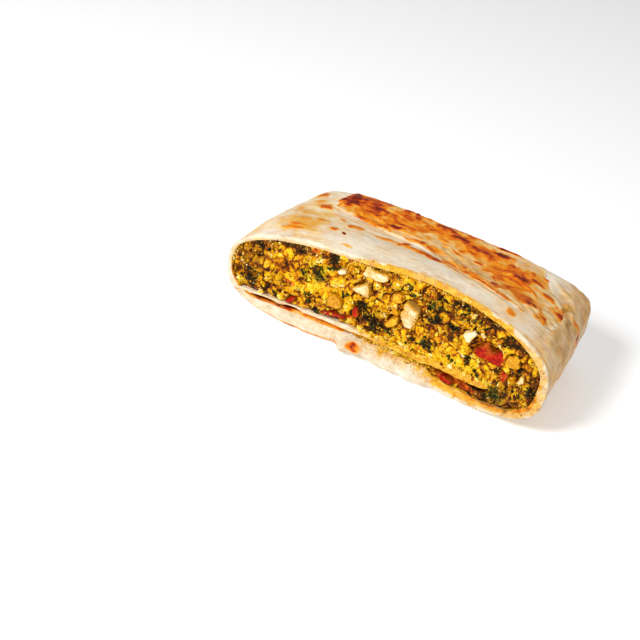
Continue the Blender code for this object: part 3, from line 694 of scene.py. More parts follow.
def skin_rows(angle):
    """The rings of the skin as points, with their depth, their share across the rim and their part.

    Part 0 is the inner wall, 1 the rim at the cut and 2 the outside."""
    x, z, inner_x, inner_z, wave, ripple = cut_outline(angle)
    lip = lip_share(x) * (np.sin(angle) < 0).astype(float)
    scallop = 0.5 * np.sin(x / (2.1 * MM)) + 0.35 * np.sin(x / (0.9 * MM) + 1.0)
    reach = lip * (LIP_REACH + LIP_SCALLOP * scallop)
    waver = RIM_WAVE * wave + RIM_RIPPLE * ripple
    front = CUT + cut_y(x) + RIM_WAVE * wave + RIM_RIPPLE * ripple
    rings, depths, shares, parts = [], [], [], []

    def add(px, py, pz, depth, share, part):
        rings.append(np.stack([px, py, pz], axis=1))
        depths.append(np.full(len(angle), depth))
        shares.append(np.full(len(angle), share))
        parts.append(part)

    for depth in INNER_DEPTHS:
        add(inner_x, front + depth, inner_z, depth, 1.0, 0)
    width = np.hypot(inner_x - x, inner_z - z)
    corner = OUTER_CORNER * (1.0 + 0.35 * smooth_step(np.sin(angle) / 0.4))
    for share in RIM_SHARES[::-1]:
        ahead = 1.0 - np.clip((share - 0.08) / 0.9, 0.0, 1.0)
        lip_rise = 1.0 - 0.6 * ahead ** 1.3
        if share < 0.12:
            lip_rise = 0.40 * math.sin(min(share / 0.12, 1.0) * math.pi / 2)
        rise = share + (lip_rise - share) * lip
        outer_gap = np.maximum(corner - share * width, 0.0)
        inner_gap = np.maximum(INNER_CORNER - (1.0 - share) * width, 0.0)
        drop = corner - np.sqrt(np.maximum(corner ** 2 - outer_gap ** 2, 0.0))
        drop = drop + INNER_CORNER - np.sqrt(np.maximum(INNER_CORNER ** 2 - inner_gap ** 2, 0.0))
        nose = LIP_NOSE * lip * (1.0 - min(share / 0.10, 1.0)) ** 2
        py = front + drop - reach * ahead + nose
        add(x + (inner_x - x) * rise, py, z + (inner_z - z) * rise, 0.0, share, 1)
    straight = DEPTH - BACK_ROUND
    turns = np.linspace(0.0, math.pi / 2, BACK_RINGS)[1:]
    steps = [1.0 * MM] + list(np.arange(1.5 * MM, straight, SKIN_STEP)) + [straight]
    for depth in steps + [straight + BACK_ROUND * math.sin(turn) for turn in turns]:
        px, pz = section(angle, np.full(len(angle), depth))
        fade = 1.0 - depth / DEPTH
        loose = np.exp(-depth / (3.0 * MM))
        ahead = reach * (1.0 - smooth_step(depth / LIP_RUN))
        add(px, CUT + depth + cut_y(px) * fade + waver * loose - ahead, pz, depth, 0.0, 2)
    rings[-1][:, 0] = (rings[-1][:, 0] + rings[-1][::-1, 0]) / 2
    rings[-1][:, 1:] = (rings[-1][:, 1].mean(), BELLY)
    return np.array(rings), np.array(depths), np.array(shares), np.array(parts)


def outside_toast(points, depth, above, mid, uneven):
    """Toast on the outside, and the height of its creases."""
    x, z = points[..., 0], points[..., 2]
    ridge, brown = wrinkle_field(x, depth, SKIN_WRINKLES, mid)
    toast = np.maximum(patch_field(x, depth, SKIN_PATCHES, uneven), brown) * above
    hidden = np.maximum(ramp_up(depth, *UNDERSIDE_FROM) * (1.0 - above), ramp_up(depth, *BACK_FROM))
    strewn = strewn_patches(points, hidden > 0.5, STREWN_COUNT, STREWN_SEED, uneven)
    toast = np.maximum(toast, hidden * strewn)
    side_spot = np.exp(-oval(depth, z, SIDE_SPOT) - 0.9 * mid)
    return np.maximum(toast, 1.10 * side_spot * (x > SIDE_FROM)), ridge


def skin_lift(points, depth, above, toast, ridge, sag, small):
    """How far the outside stands off its plain form, in metres."""
    x, z = points[..., 0], points[..., 2]
    folds = grain(np.stack([x * 0.5, depth * 0.30, z], axis=2), *FOLD_GRAIN)
    covered = ramp_up(flap_inside(x, depth), 0.6, 1.0) * above
    lift = body_lift(points, depth) + SKIN_PORES * small * ramp_up(z, 0.0, 3.0)
    lift += ridge * above + TOAST_STAND * smooth_step(toast / 0.8) * above
    lift += SIDE_FOLDS * folds * sag * ramp_up(z, 0.0, 6.0)
    lift -= FLAP_BED * covered
    return lift * (0.10 + 0.90 * ramp_up(depth, 0.8, 3.0))


def rim_toast(x, z, share, sine, rim, mid, small):
    """Toast on the rim, with painted shadow and shade on its lower left edges, and the browned crust beside
    the filling at the lower right.
    """
    below = rim * (sine < 0)
    base_band = below * ramp_down(x, *BASE_TOAST_AND_SHADE_TO)
    # the lower left rim is browned along its bottom edge, partly as toast seen edge on and partly as a
    # painted shadow line along the base; along its inner edge by the gap it is partly toast and partly
    # painted shade in that crease
    base_toast_and_shadow = 0.85 * base_band * smooth_step((0.16 - share) / 0.10) * (0.7 + 0.5 * mid)
    gap_edge_toast_and_shade = 0.95 * (base_band * smooth_step((share - 0.80) / 0.16) * (0.8 + 0.5 * mid))
    crust = rim * (sine < 0.1) * ramp_up(x, *CRUST_FROM) * smooth_step((share - 0.50 + 0.25 * mid) / 0.35)
    away = oval(x, z, BLISTER) + 0.18 * mid
    blister = 0.38 * smooth_step((1.4 - away) / 1.2) + 0.54 * smooth_step((0.50 - away - 0.45 * small) / 0.5)
    edges = np.maximum(base_toast_and_shadow, gap_edge_toast_and_shade)
    return np.maximum(edges, np.maximum(0.75 * crust * (0.8 + 0.9 * small), blister * below)), crust


def make_skin():
    """The outer bread as one closed skin: inner wall, rim at the cut, outside and folded back."""
    angle = even_angles()
    points, depth, share, parts = skin_rows(angle)
    sine = np.sin(angle)[None, :]
    inside, rim, outside = ((parts == part).astype(float)[:, None] * np.ones_like(depth) for part in range(3))
    normals = grid_normals(points)
    x, z = points[..., 0], points[..., 2]
    above = smooth_step((z - BELLY) / (5.0 * MM))
    mid, small, uneven = toast_grain(points)
    toast, ridge = outside_toast(points, depth, above, mid, uneven)
    sag = ramp_up(x, *SAG_FROM) * ramp_up(depth, *SAG_BEHIND)
    shoulder = np.exp(-oval(z, depth, SHOULDER)) * sag
    warm = (0.60 * ramp_up(x, *WARM_RIGHT) + 0.60 * ramp_down(x, *WARM_LEFT)) * (1.0 + 0.6 * mid)
    golden = np.maximum(patch_field(x, depth, SKIN_HAZE, mid) * above, warm) * outside
    aged = (0.80 * sag * (0.8 + 0.8 * mid) + 0.45 * shoulder * (1.0 + small)) * outside

    stain = np.maximum(rim_stain(x, z, share, sine) * rim, inside * 0.9)
    edge = np.exp(-depth / (0.9 * MM)) * above * ramp_up(x, *OILY_EDGE_FROM)
    stain = np.maximum(stain, outside * edge * (0.75 + 1.1 * mid))
    stain = np.maximum(stain, outside * above * patch_field(x, depth, OIL_SPOTS, 1.4 * small))
    crusty, crust = rim_toast(x, z, share, sine, rim, mid, small)
    # painted shade: the inner face of the lower outer layer at the left, seen through the gap under the inner
    # layer, is browned to stand for the shade in that gap
    painted_gap_shade = inside * (sine < 0) * ramp_down(x, *GAP_SHADE_TO)

    lift = skin_lift(points, depth, above, toast, ridge, sag, small)
    points = points + normals * (lift * outside)[..., None]
    points[..., 2] = np.maximum(points[..., 2], 0.0)
    points[-1, :, 2] = BELLY
    # the toast value here also carries painted shade: in the gap at the lower left and along the rim's lower
    # left edges
    toast = np.where(rim > 0, crusty, toast * outside) + 1.05 * painted_gap_shade
    stain = stain * (1.0 - 0.55 * crust) * (1.0 - painted_gap_shade)
    values = {"toast": toast, "stain": stain, "cut": rim, "golden": golden, "aged": aged}
    return wrapped_grid("bread_skin", points, values, closed=True)


def rim_stain(x, z, share, sine):
    """Yellow oil in the rim, deepest beside the filling and at the right."""
    above, below = (sine >= 0).astype(float), (sine < 0).astype(float)
    top, right = within(x, OILY_TOP), ramp_up(x, *OIL_RIGHT)
    far_right, lip = ramp_up(x, *OIL_FAR_RIGHT), ramp_up(x, *OIL_LIP)
    reach = above * (0.40 + 0.52 * top + 0.25 * within(x, OILIEST_TOP) + 0.22 * ramp_up(x, *WARM_RIGHT))
    reach = reach + below * (0.72 * right + (1.0 - right) * lip * 0.50)
    reach = np.where((below > 0) & (x < DRY_CORNER), 0.25, reach)
    reach = reach + (1.0 - reach) * 0.7 * far_right
    strength = (0.50 + 0.50 * np.maximum(right, top)) * (1.0 - 0.25 * far_right)
    uneven = 0.36 * grain(np.stack([x, x * 0.0, z], axis=-1), *OIL_GRAIN)
    softness = 0.30 + 0.75 * lip * below * (1.0 - right)
    return strength * smooth_step((share - (1.0 - reach) + uneven) / softness + 0.4)


# ---------------------------------------------------------------------------- the browned flap
FLAP_FRONT = ((-36.6, 30.4), (-29.0, 28.3), (-17.0, 25.6), (-6.0, 24.2), (2.0, 22.4), (8.0, 19.0),
              (14.0, 15.2), (20.0, 12.7), (28.0, 10.9), (38.0, 9.8), (45.0, 9.9), (48.6, 11.4))
FLAP_LEFT = ((30.4, -36.6), (33.0, -37.5), (36.0, -37.4), (41.0, -36.4), (51.0, -34.4), (64.0, -33.0))
FLAP_RIGHT = ((11.4, 48.6), (15.0, 50.2), (20.0, 50.6), (24.0, 50.0), (29.0, 46.6), (34.0, 42.0),
              (40.0, 37.6), (46.0, 35.6), (52.0, 35.4), (58.0, 34.0), (64.0, 31.0))
FLAP_END, FLAP_HALF_END = 62.0 * MM, 35.0 * MM
FLAP_COLUMNS, FLAP_ROWS, FLAP_EASE = 230, 138, 0.02
FRONT_LINE_POINTS, FRONT_LINE_EASE = 200, 0.03
FLAP_STAND, FLAP_SINK, FLAP_SHEET = 0.62 * MM, 0.15 * MM, 0.6 * MM
FLAP_EDGE, FLAP_EDGE_WAVE = 1.1 * MM, 0.45 * MM
FLAP_PUFF, FLAP_CRINKLE = 0.24 * MM, 0.26 * MM
FLAP_STREWN_COUNT, FLAP_STREWN_SEED = 42, 5
FLAP_EDGE_GRAIN, BLOTCH_GRAIN = (5.0 * MM, 21.0, 0.7), (6.0 * MM, 14.0, 0.7)
CRINKLE_GRAIN = (1.7 * MM, 6.0, 0.6)
# where something sets in (mm), with its run
LOW_FRONT_FROM, FLAP_BACK_FROM = (-6.0, 14.0), (45.0, 4.0)
DULL_CORNER_FROM, DULL_BEHIND = (40.0, 6.0), (28.0, 6.0)


def flap_end(x):
    """Run from the cut to the flap's rounded end, over the back."""
    across = np.clip(np.abs(x) / FLAP_HALF_END, 0.0, 1.1)
    return FLAP_END - (3.5 * across ** 2 + 4.5 * across ** 8) * MM + 0.5 * MM * np.sin(x / (5.0 * MM))


def side_line(stations, run):
    """Where one side of the flap lies, from its stations of run and x."""
    path = np.array(stations) * MM
    return np.interp(run, path[:, 0], path[:, 1])


def flap_front_line(x):
    """Run from the cut to the flap's front edge at x."""
    line = curve_through(FLAP_FRONT, FRONT_LINE_POINTS, FRONT_LINE_EASE)
    return np.interp(x, line[:, 0], line[:, 1])


def flap_inside(x, run):
    """Distance inside the flap's outline, in metres."""
    front = (run - flap_front_line(x)) * 0.9
    left, right = x - side_line(FLAP_LEFT, run), side_line(FLAP_RIGHT, run) - x
    return np.minimum(np.minimum(front, flap_end(x) - run), np.minimum(left, right * 0.85))


def flap_grid():
    """The flap's points before they are lifted, with their run from the cut and their depth."""
    front = curve_through(FLAP_FRONT, FLAP_COLUMNS, FLAP_EASE)
    wave = grain(np.stack([front[:, 0], front[:, 0] * 0, front[:, 1]], axis=1), *FLAP_EDGE_GRAIN)
    front[:, 1] += FLAP_EDGE_WAVE * wave
    share = np.linspace(0.0, 1.0, FLAP_ROWS)[:, None]
    eased = share + 0.012 * np.sin(2 * math.pi * share)
    end = flap_end(np.linspace(-FLAP_HALF_END, FLAP_HALF_END, FLAP_COLUMNS))
    run = front[:, 1][None, :] + (end - front[:, 1])[None, :] * eased
    left, right = side_line(FLAP_LEFT, run), side_line(FLAP_RIGHT, run)
    spread = (front[:, 0] - front[0, 0]) / (front[-1, 0] - front[0, 0])
    x = left + (right - left) * spread[None, :]
    x = x + (front[:, 0][None, :] - x) * (1.0 - smooth_step(share / 0.25))
    depth, z = over_back(x, run)
    y = CUT + depth + cut_y(x) * (1.0 - depth / DEPTH)
    return np.stack([x, y, z], axis=2), run, depth


def reach_along(points, axis):
    """Distance along the grid from its first row or column."""
    steps = np.linalg.norm(np.diff(points, axis=axis), axis=2)
    return np.cumsum(np.insert(steps, 0, 0.0, axis=axis), axis=axis)


def flap_stand(x, from_front, from_end, from_right, edge, mid):
    """How far the flap stands off the skin: rounded at its edges, thin at its end and at the right."""
    rounding = np.sqrt(np.clip(1.0 - (1.0 - np.clip(edge / FLAP_EDGE, 0.0, 1.0)) ** 2, 0.0, 1.0))
    stand = FLAP_STAND * rounding * (1.0 + 0.22 * mid)
    stand = stand * (0.55 + 0.45 * ramp_up(from_end, 0.0, 9.0))
    stand = stand * (0.25 + 0.75 * ramp_up(from_right, 1.0, 12.0))
    low_front = ramp_up(x, *LOW_FRONT_FROM) * ramp_down(from_front, 9.0, 8.0)
    return stand * (1.0 - 0.72 * low_front) - FLAP_SINK


def flap_toast(x, run, brown, edge, mid, uneven, points):
    """Patches and glow on top, and blotches and strewn patches where the flap goes over the back."""
    glow = patch_field(x, run, FLAP_GLOW, mid)
    toast = np.maximum(np.maximum(patch_field(x, run, FLAP_PATCHES, uneven), brown), glow)
    behind = ramp_up(run, *FLAP_BACK_FROM)
    blotch = grain(np.stack([x * 0.5, run, x * 0.0], axis=2), *BLOTCH_GRAIN)
    toast = np.maximum(toast, behind * (0.42 + 0.30 * blotch) * ramp_up(edge, 0.0, 3.0))
    strewn = strewn_patches(points, behind > 0.5, FLAP_STREWN_COUNT, FLAP_STREWN_SEED, uneven)
    return np.maximum(toast, behind * strewn)


def make_flap():
    """The last turn of bread, lying on the top and carried over the back."""
    points, run, depth = flap_grid()
    x = points[..., 0]
    from_left, from_front = reach_along(points, 1), reach_along(points, 0)
    from_right, from_end = from_left[:, -1:] - from_left, from_front[-1:] - from_front
    edge = np.minimum(np.minimum(from_left, from_right), np.minimum(from_front, from_end))
    mid, _, uneven = toast_grain(points)
    ridge, brown = wrinkle_field(x, run, FLAP_WRINKLES, mid)
    fold, dull = wrinkle_field(x, run, FLAP_CREASES, mid)
    toast = flap_toast(x, run, brown, edge, mid, uneven, points)
    slant = np.stack([x / 2.6 + run * 0.2, run + x * 0.35, x * 0.0], axis=2)
    crinkle = grain(slant, *CRINKLE_GRAIN)
    near_edge = np.exp(-((from_front - 3.0 * MM) / (6.0 * MM)) ** 2)
    stand = flap_stand(x, from_front, from_end, from_right, edge, mid)
    lift = body_lift(points, depth) + stand + ridge + fold
    lift += FLAP_PUFF * smooth_step((toast - 0.45) / 0.4) + FLAP_CRINKLE * crinkle * (0.5 + near_edge)
    points = points + grid_normals(points) * lift[..., None]
    points[..., 2] = np.maximum(points[..., 2], 0.1 * MM)
    pale = 1.0 - ramp_up(edge, 0.0, 0.8)
    golden = 0.80 * ramp_up(edge, 0.0, 2.0) * (0.80 + 0.5 * mid)
    far_right = ramp_up(x, *DULL_CORNER_FROM) * ramp_up(run, *DULL_BEHIND)
    aged = np.maximum(np.maximum(0.6 * far_right, dull), patch_field(x, run, FLAP_AGED, mid))
    flap = wrapped_grid("bread_flap", points, {
        "toast": toast * (1.0 - 0.25 * pale), "stain": np.zeros_like(x), "cut": np.zeros_like(x),
        "golden": golden * (1.0 - 0.5 * far_right), "aged": aged,
    })
    work(flap, FACE_OUTWARDS)
    if (normals_of(flap)[:, 2] > 0).mean() < 0.5:
        work(flap, (bpy.ops.mesh.flip_normals, {}))
    apply_modifier(flap, "SOLIDIFY", thickness=FLAP_SHEET, offset=-1.0)
    return flap


# ---------------------------------------------------------------------- the inner layer of bread
TONGUE_COLUMNS = 300
TONGUE_OVERRUN, TONGUE_THICKER, TONGUE_PRESSED = 1.5 * MM, 0.55 * MM, 1.1 * MM
INNER_GRAIN, INNER_FINE_GRAIN, SOAKED_GRAIN = (6.0 * MM, 31.0, 0.5), (2.2 * MM, 33.0), (1.6 * MM, 35.0, 0.5)
# where something sets in along the cut (mm), with its run
MERGING_FROM, PRESSED_FROM, SOAKED_FROM, DRAWN_IN_TO = (0.0, 14.0), (14.0, 5.0), (-14.0, 26.0), (-26.0, 22.0)
# middle and half length along the cut (mm), and how far the gap under the layer opens (mm)
GAPS = ((-48.6, 1.6, 0.9), (-41.5, 5.2, 0.75), (-31.0, 3.2, 1.0), (-19.0, 4.0, 0.15), (2.0, 12.0, 0.20))
# share of the layer's thickness and depth behind its front (mm) of each ring
TONGUE_RINGS = (
    (0.0, 0.0), (0.3, 0.0), (0.55, 0.0), (0.75, 0.02), (0.88, 0.07), (0.96, 0.16), (1.0, 0.30),
    (1.0, 0.8), (1.0, 2.0), (1.0, 4.5), (1.0, 9.0), (1.0, 18.0), (1.0, 30.0), (0.0, 30.2),
)


def make_tongue():
    """The thin inner layer under the filling, thicker and soaked towards its tip."""
    share = (1.0 - np.cos(np.linspace(0.0, math.pi, TONGUE_COLUMNS))) / 2
    even = np.linspace(0.0, 1.0, TONGUE_COLUMNS)
    length = TONGUE_TIP_X + TONGUE_OVERRUN - TONGUE_START_X
    x = TONGUE_START_X - TONGUE_OVERRUN + length * (0.9 * even + 0.1 * share)
    places = np.stack([x, x * 0.0, x * 0.0], axis=1)
    wave, ripple = grain(places, *INNER_GRAIN), grain(places, *INNER_FINE_GRAIN)
    merging = ramp_up(x, *MERGING_FROM)
    top = tongue_top(x) + (0.20 + 0.35 * merging) * MM * wave + (0.10 + 0.15 * merging) * MM * ripple
    under = tongue_under(x) - TONGUE_THICKER + TONGUE_PRESSED * ramp_up(x, *PRESSED_FROM)
    for middle, half, opening in GAPS:
        under = under + opening * MM * np.exp(-((x / MM - middle) / half) ** 4)
    under = under + (0.12 + 0.25 * merging) * MM * ripple
    blunt = np.clip(np.minimum(x - x[0], (x[-1] - x) * 0.3) / (2.0 * MM), 0.0, 1.0)
    ends = np.sqrt(1.0 - (1.0 - blunt) ** 2)
    middle, half = (top + under) / 2, (top - under) / 2 * ends
    front = CUT + cut_y(x) - 0.35 * MM * (wave + 1.0) - 0.15 * MM * ripple
    rings = []
    for scale, depth in TONGUE_RINGS:
        taper = LEFT_TAPER * (depth * MM / DEPTH) ** TAPER_POWER + 0.06 * depth * MM
        drawn_in = x + taper * ramp_down(x, *DRAWN_IN_TO)
        upper = np.stack([drawn_in, front + depth * MM, middle + half * scale], axis=1)
        lower = np.stack([drawn_in, front + depth * MM, middle - half * scale], axis=1)
        rings.append(np.concatenate((upper, lower[-2::-1])))
    points = np.array(rings)
    px, is_upper = points[..., 0], np.arange(points.shape[1]) < TONGUE_COLUMNS
    scale = np.array(TONGUE_RINGS)[:, :1] * np.ones_like(px)
    soaked = ramp_up(px, *SOAKED_FROM)
    mixed = grain(points, *SOAKED_GRAIN)
    toast = np.where(is_upper[None, :], 0.0, 1.05 * smooth_step((scale - 0.25) / 0.5)) * (1.0 - 0.15 * soaked)
    return wrapped_grid("bread_inner_layer", points, {
        "toast": toast * (0.75 + 0.6 * mixed),
        "stain": np.clip(0.10 + 1.3 * soaked + 0.40 * mixed * (1.0 - soaked), 0.0, 1.3),
        "cut": np.ones_like(px), "golden": np.zeros_like(px), "aged": np.zeros_like(px),
    }, closed=True)


def bread_look():
    """Toast, oil, a paler cut, partly darkened as painted shade, and dull areas over mottled flat bread."""
    look = Look("flat bread", subsurface_weight=0.06, subsurface_scale=0.6, specular_ior_level=0.14)
    look.shader.inputs["Subsurface Radius"].default_value = (0.0035, 0.002, 0.001)
    toast, stain, cut = look.attribute("toast"), look.attribute("stain"), look.attribute("cut")
    golden, aged = look.attribute("golden"), look.attribute("aged")
    broad, fine = look.noise(95.0, 4.0, 0.6), look.noise(620.0, 5.0, 0.65, look.stretched((0.6, 1.0, 1.0)))
    streaks = look.noise(230.0, 5.0, 0.68, look.stretched((0.50, 1.0, 1.0)), 0.9)
    specks = look.noise(1700.0, 3.0, 0.6)
    base = look.ramp(broad * 0.5 + fine * 0.5, (
        (0.30, (206, 180, 146)), (0.44, (228, 209, 180)), (0.62, (240, 228, 208))))
    base = look.mix(golden * 0.9, base, look.ramp(streaks * 0.7 + broad * 0.3, (
        (0.38, (206, 124, 16)), (0.50, (232, 172, 58)), (0.60, (238, 204, 126)))))
    # the cut faces take a darker tone: partly the cut crumb's own colour, and partly painted shade that tones
    # down how brightly the key lamp lights these forward faces
    base = look.mix(cut * (1.0 - stain * 0.5) * 0.70, base, look.ramp(fine * 0.5 + broad * 0.5, (
        (0.38, (186, 158, 118)), (0.50, (214, 196, 164)), (0.60, (230, 218, 196)))))
    mottled = look.noise(300.0, 5.0, 0.62) * 0.7 + fine * 0.3
    base = look.mix(aged * (0.65 + (broad - 0.5) * 2.4), base, look.ramp(mottled, (
        (0.38, (134, 84, 26)), (0.50, (192, 138, 62)), (0.62, (226, 186, 118)))))
    mottling = (fine - 0.5) * 0.8 + (streaks - 0.5) * 2.5 + (broad - 0.5) * 0.3
    mottle = toast + toast.step(0.05, 0.70) * mottling
    browned = look.ramp(mottle, (
        (0.06, (238, 194, 104)), (0.26, (236, 158, 24)), (0.46, (226, 122, 4)),
        (0.66, (202, 84, 2)), (0.86, (158, 46, 2)), (1.0, (112, 26, 3))))
    color = look.mix((mottle + toast * 0.5).step(0.06, 0.62), base, browned)
    oil = look.ramp(fine * 0.6 + specks * 0.4, (
        (0.36, (190, 104, 2)), (0.50, (232, 164, 6)), (0.64, (246, 204, 60))))
    oil = look.mix(cut * 0.7, oil, look.ramp(fine * 0.7 + specks * 0.3, (
        (0.36, (176, 106, 12)), (0.50, (212, 158, 40)), (0.64, (228, 194, 96)))))
    color = look.mix(stain * (1.05 + (broad - 0.5) * 1.6 + (fine - 0.5) * 0.8), color, oil)
    color = look.mix(specks.step(0.69, 0.75) * 0.6, color, tone((150, 96, 40)))
    height = fine * 0.5 + broad * 0.4 + specks * 0.22 + streaks * (0.5 + toast * 1.2)
    height = height + cut * (look.noise(850.0, 3.0) - 0.5) * 0.6
    return look.finish(color, 0.60 - toast * 0.24 - stain * 0.14 - aged * 0.16, height, 0.6 * MM, 0.9)


# -------------------------------------------------------------------------------- the filling
# across and up the cut, half width, half height (mm), strength
BROWN_AREAS = (
    (-48.0, 20.0, 6.0, 9.0, 0.56), (-46.8, 14.6, 2.8, 2.6, 0.85), (-45.0, 26.6, 4.5, 2.4, 1.00),
    (-36.0, 30.4, 10.0, 2.0, 1.15), (-50.6, 22.0, 2.0, 6.0, 0.50), (-20.3, 31.4, 2.3, 1.5, 0.90),
    (-5.5, 16.0, 6.5, 4.8, 0.48), (-8.5, 18.5, 2.2, 1.6, 0.85), (-3.0, 13.2, 2.2, 1.8, 0.85),
    (-6.0, 33.2, 4.5, 0.9, 0.81), (16.0, 27.0, 9.0, 8.0, 0.36), (22.0, 25.5, 2.4, 1.2, 0.90),
    (15.0, 30.2, 2.6, 1.6, 0.61), (26.0, 33.6, 7.0, 1.1, 0.90), (34.0, 32.2, 6.0, 1.3, 0.95),
    (42.0, 29.2, 5.0, 1.8, 0.95), (47.5, 20.0, 5.0, 7.5, 0.45), (51.4, 18.0, 1.3, 8.0, 1.20),
    (43.0, 8.5, 8.0, 3.2, 0.75), (29.0, 7.0, 11.0, 1.9, 1.25), (-26.0, 13.2, 1.6, 1.2, 0.58),
    (-23.5, 10.2, 1.4, 1.0, 0.58), (8.0, 14.6, 3.0, 1.6, 0.36), (-36.5, 22.0, 1.4, 1.0, 0.50),
)
GREEN_AREAS = (
    (-26.0, 23.5, 6.5, 5.0, 0.62), (-29.0, 28.0, 8.0, 3.0, 0.30), (-28.0, 15.0, 6.0, 3.5, 0.35),
    (17.0, 30.5, 6.0, 3.4, 0.50), (7.5, 28.5, 3.0, 2.6, 0.40), (40.4, 9.8, 3.4, 2.6, 0.95),
    (43.0, 13.0, 3.0, 2.2, 0.60), (36.0, 14.0, 4.5, 2.4, 0.30), (-17.0, 23.0, 5.0, 4.0, 0.30),
    (-37.0, 16.0, 6.0, 4.0, 0.25), (14.0, 21.0, 5.0, 4.0, 0.25),
)
SMOOTH_AREAS = (
    (25.0, 13.0, 11.0, 2.8, 1.0), (12.0, 12.4, 7.0, 2.0, 0.7), (-17.0, 11.6, 5.0, 1.2, 0.5),
    (-29.0, 18.0, 7.5, 4.2, 0.62), (-17.0, 17.0, 6.0, 3.6, 0.66), (-21.0, 26.0, 4.0, 2.4, 0.5),
)
ORANGE_AREAS = (
    (-33.2, 17.2, 2.2, 0.9, 0.9), (32.6, 10.6, 1.8, 1.0, 1.0), (13.0, 31.8, 1.4, 1.0, 0.8),
    (-13.0, 12.8, 3.0, 0.9, 0.6), (2.5, 21.0, 2.0, 1.2, 0.5), (-27.5, 31.0, 1.6, 1.4, 0.7),
    (27.5, 6.6, 7.0, 1.3, 0.85), (33.5, 14.0, 0.9, 0.7, 0.9),
)
# across and up (mm), spread (mm), how many flakes
HERB_CLUSTERS = (
    (-29.5, 22.5, 1.9, 18), (-25.0, 25.0, 2.0, 22), (-24.0, 22.8, 1.4, 12), (-27.0, 15.0, 1.6, 10),
    (-26.0, 13.0, 0.9, 9), (-23.5, 10.0, 0.9, 8), (-47.0, 14.5, 2.2, 26), (-44.0, 27.0, 2.6, 10),
    (-40.0, 30.0, 3.0, 9), (-33.0, 31.5, 4.0, 11), (-8.5, 18.5, 1.8, 24), (-3.0, 13.2, 1.8, 26),
    (-5.0, 16.0, 3.0, 30), (-6.0, 33.3, 2.8, 16), (-20.3, 31.0, 1.9, 20), (-20.0, 27.5, 1.2, 10),
    (15.0, 30.0, 2.6, 34), (16.0, 25.0, 2.0, 20), (16.0, 16.0, 1.9, 24), (14.2, 15.0, 1.4, 12),
    (22.0, 25.5, 1.6, 12), (24.0, 31.5, 3.2, 18), (31.0, 30.5, 2.6, 15), (39.0, 28.5, 2.2, 15),
    (43.5, 25.5, 2.0, 15), (44.5, 21.5, 2.0, 12), (50.0, 17.0, 1.8, 18), (47.5, 13.0, 2.0, 16),
    (40.4, 9.6, 1.8, 30), (29.0, 17.0, 1.6, 14), (33.0, 14.0, 1.2, 8), (24.0, 14.5, 1.6, 10),
    (5.5, 30.5, 2.4, 16), (10.0, 14.5, 1.8, 10), (-37.5, 12.5, 1.6, 8), (-42.0, 11.5, 1.6, 9),
    (-14.5, 20.5, 1.6, 9), (2.2, 14.0, 1.2, 8), (43.0, 31.0, 1.0, 6), (-16.5, 14.8, 1.0, 5),
)
MASH_VOXEL = 0.85 * MM
CUT_BAND = 1.6 * MM                                 # how far behind the cut the mash is finely worked
CLUMP, SMALL_CLUMP = (3.6 * MM, 3.0), (1.5 * MM, 8.0)   # size and seed
MASH_SWELL, MASH_STAND = 0.32 * MM, 0.15 * MM       # outwards behind the cut, and forward at it
BROWN_SINK, POCKET_SINK, LOW_SINK = 0.25 * MM, 1.3 * MM, 1.2 * MM
POCKET_SPAN, POCKET_BELOW = (17.0, 3.0, 37.0, 5.0), (9.2, 0.8)
LOW_BELOW, LOW_BEHIND, LOW_FROM = (15.0, 5.0), (6.0, 3.0), (28.0, 10.0)
AREA_GRAIN, MASH_GRAIN = (2.4 * MM, 51.0, 0.6), (6.0 * MM, 61.0, 0.5)
LOOSE_GRAIN, SHADE_GRAIN = (4.5 * MM, 71.0, 0.5), (2.8 * MM, 81.0)


def spots(x, z, areas, wobble=0.0):
    """The strongest of the areas at each place on the cut."""
    field = np.zeros_like(x)
    for cx, cz, wide, high, strength in areas:
        reach = np.sqrt(((x / MM - cx) / wide) ** 2 + ((z / MM - cz) / high) ** 2) + wobble
        field = np.maximum(field, strength * smooth_step((1.45 - reach) / 0.9))
    return field


def region(points):
    """Browned, green, orange and smooth shares of the mash at each place on the cut."""
    x, z = points[:, 0], points[:, 2]
    wobble = 0.45 * grain(points, *AREA_GRAIN)
    return (spots(x, z, BROWN_AREAS, wobble), spots(x, z, GREEN_AREAS, wobble),
            spots(x, z, ORANGE_AREAS, 0.5 * wobble), spots(x, z, SMOOTH_AREAS))


def cells(points, size, seed):
    """Distance to the middle of the nearest clump and how near its border is, in clump sizes."""
    flat = points / size + seed
    near = np.array([noise.voronoi(place)[0][:2] for place in map(Vector, flat)])
    return near[:, 0], near[:, 1] - near[:, 0]


def copy_of(node, name):
    """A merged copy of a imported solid, to be worked into the finished piece."""
    item = frame["nodes"][node].copy()
    item.data = item.data.copy()
    item.name = item.data.name = name
    bpy.context.scene.collection.objects.link(item)
    item.parent = None
    item.matrix_world = frame["nodes"][node].matrix_world.copy()
    activate(item)
    bpy.ops.object.transform_apply(location=True, rotation=True, scale=True)
    work(item, MERGE)
    return item


def select_faces(item, wanted):
    """Selects the polygons whose centre and normal pass the test."""
    chosen = wanted(vectors_of(item.data.polygons, "center"), vectors_of(item.data.polygons, "normal"))
    item.data.vertices.foreach_set("select", np.zeros(len(item.data.vertices), bool))
    item.data.edges.foreach_set("select", np.zeros(len(item.data.edges), bool))
    item.data.polygons.foreach_set("select", chosen)
    bpy.context.tool_settings.mesh_select_mode = (False, False, True)


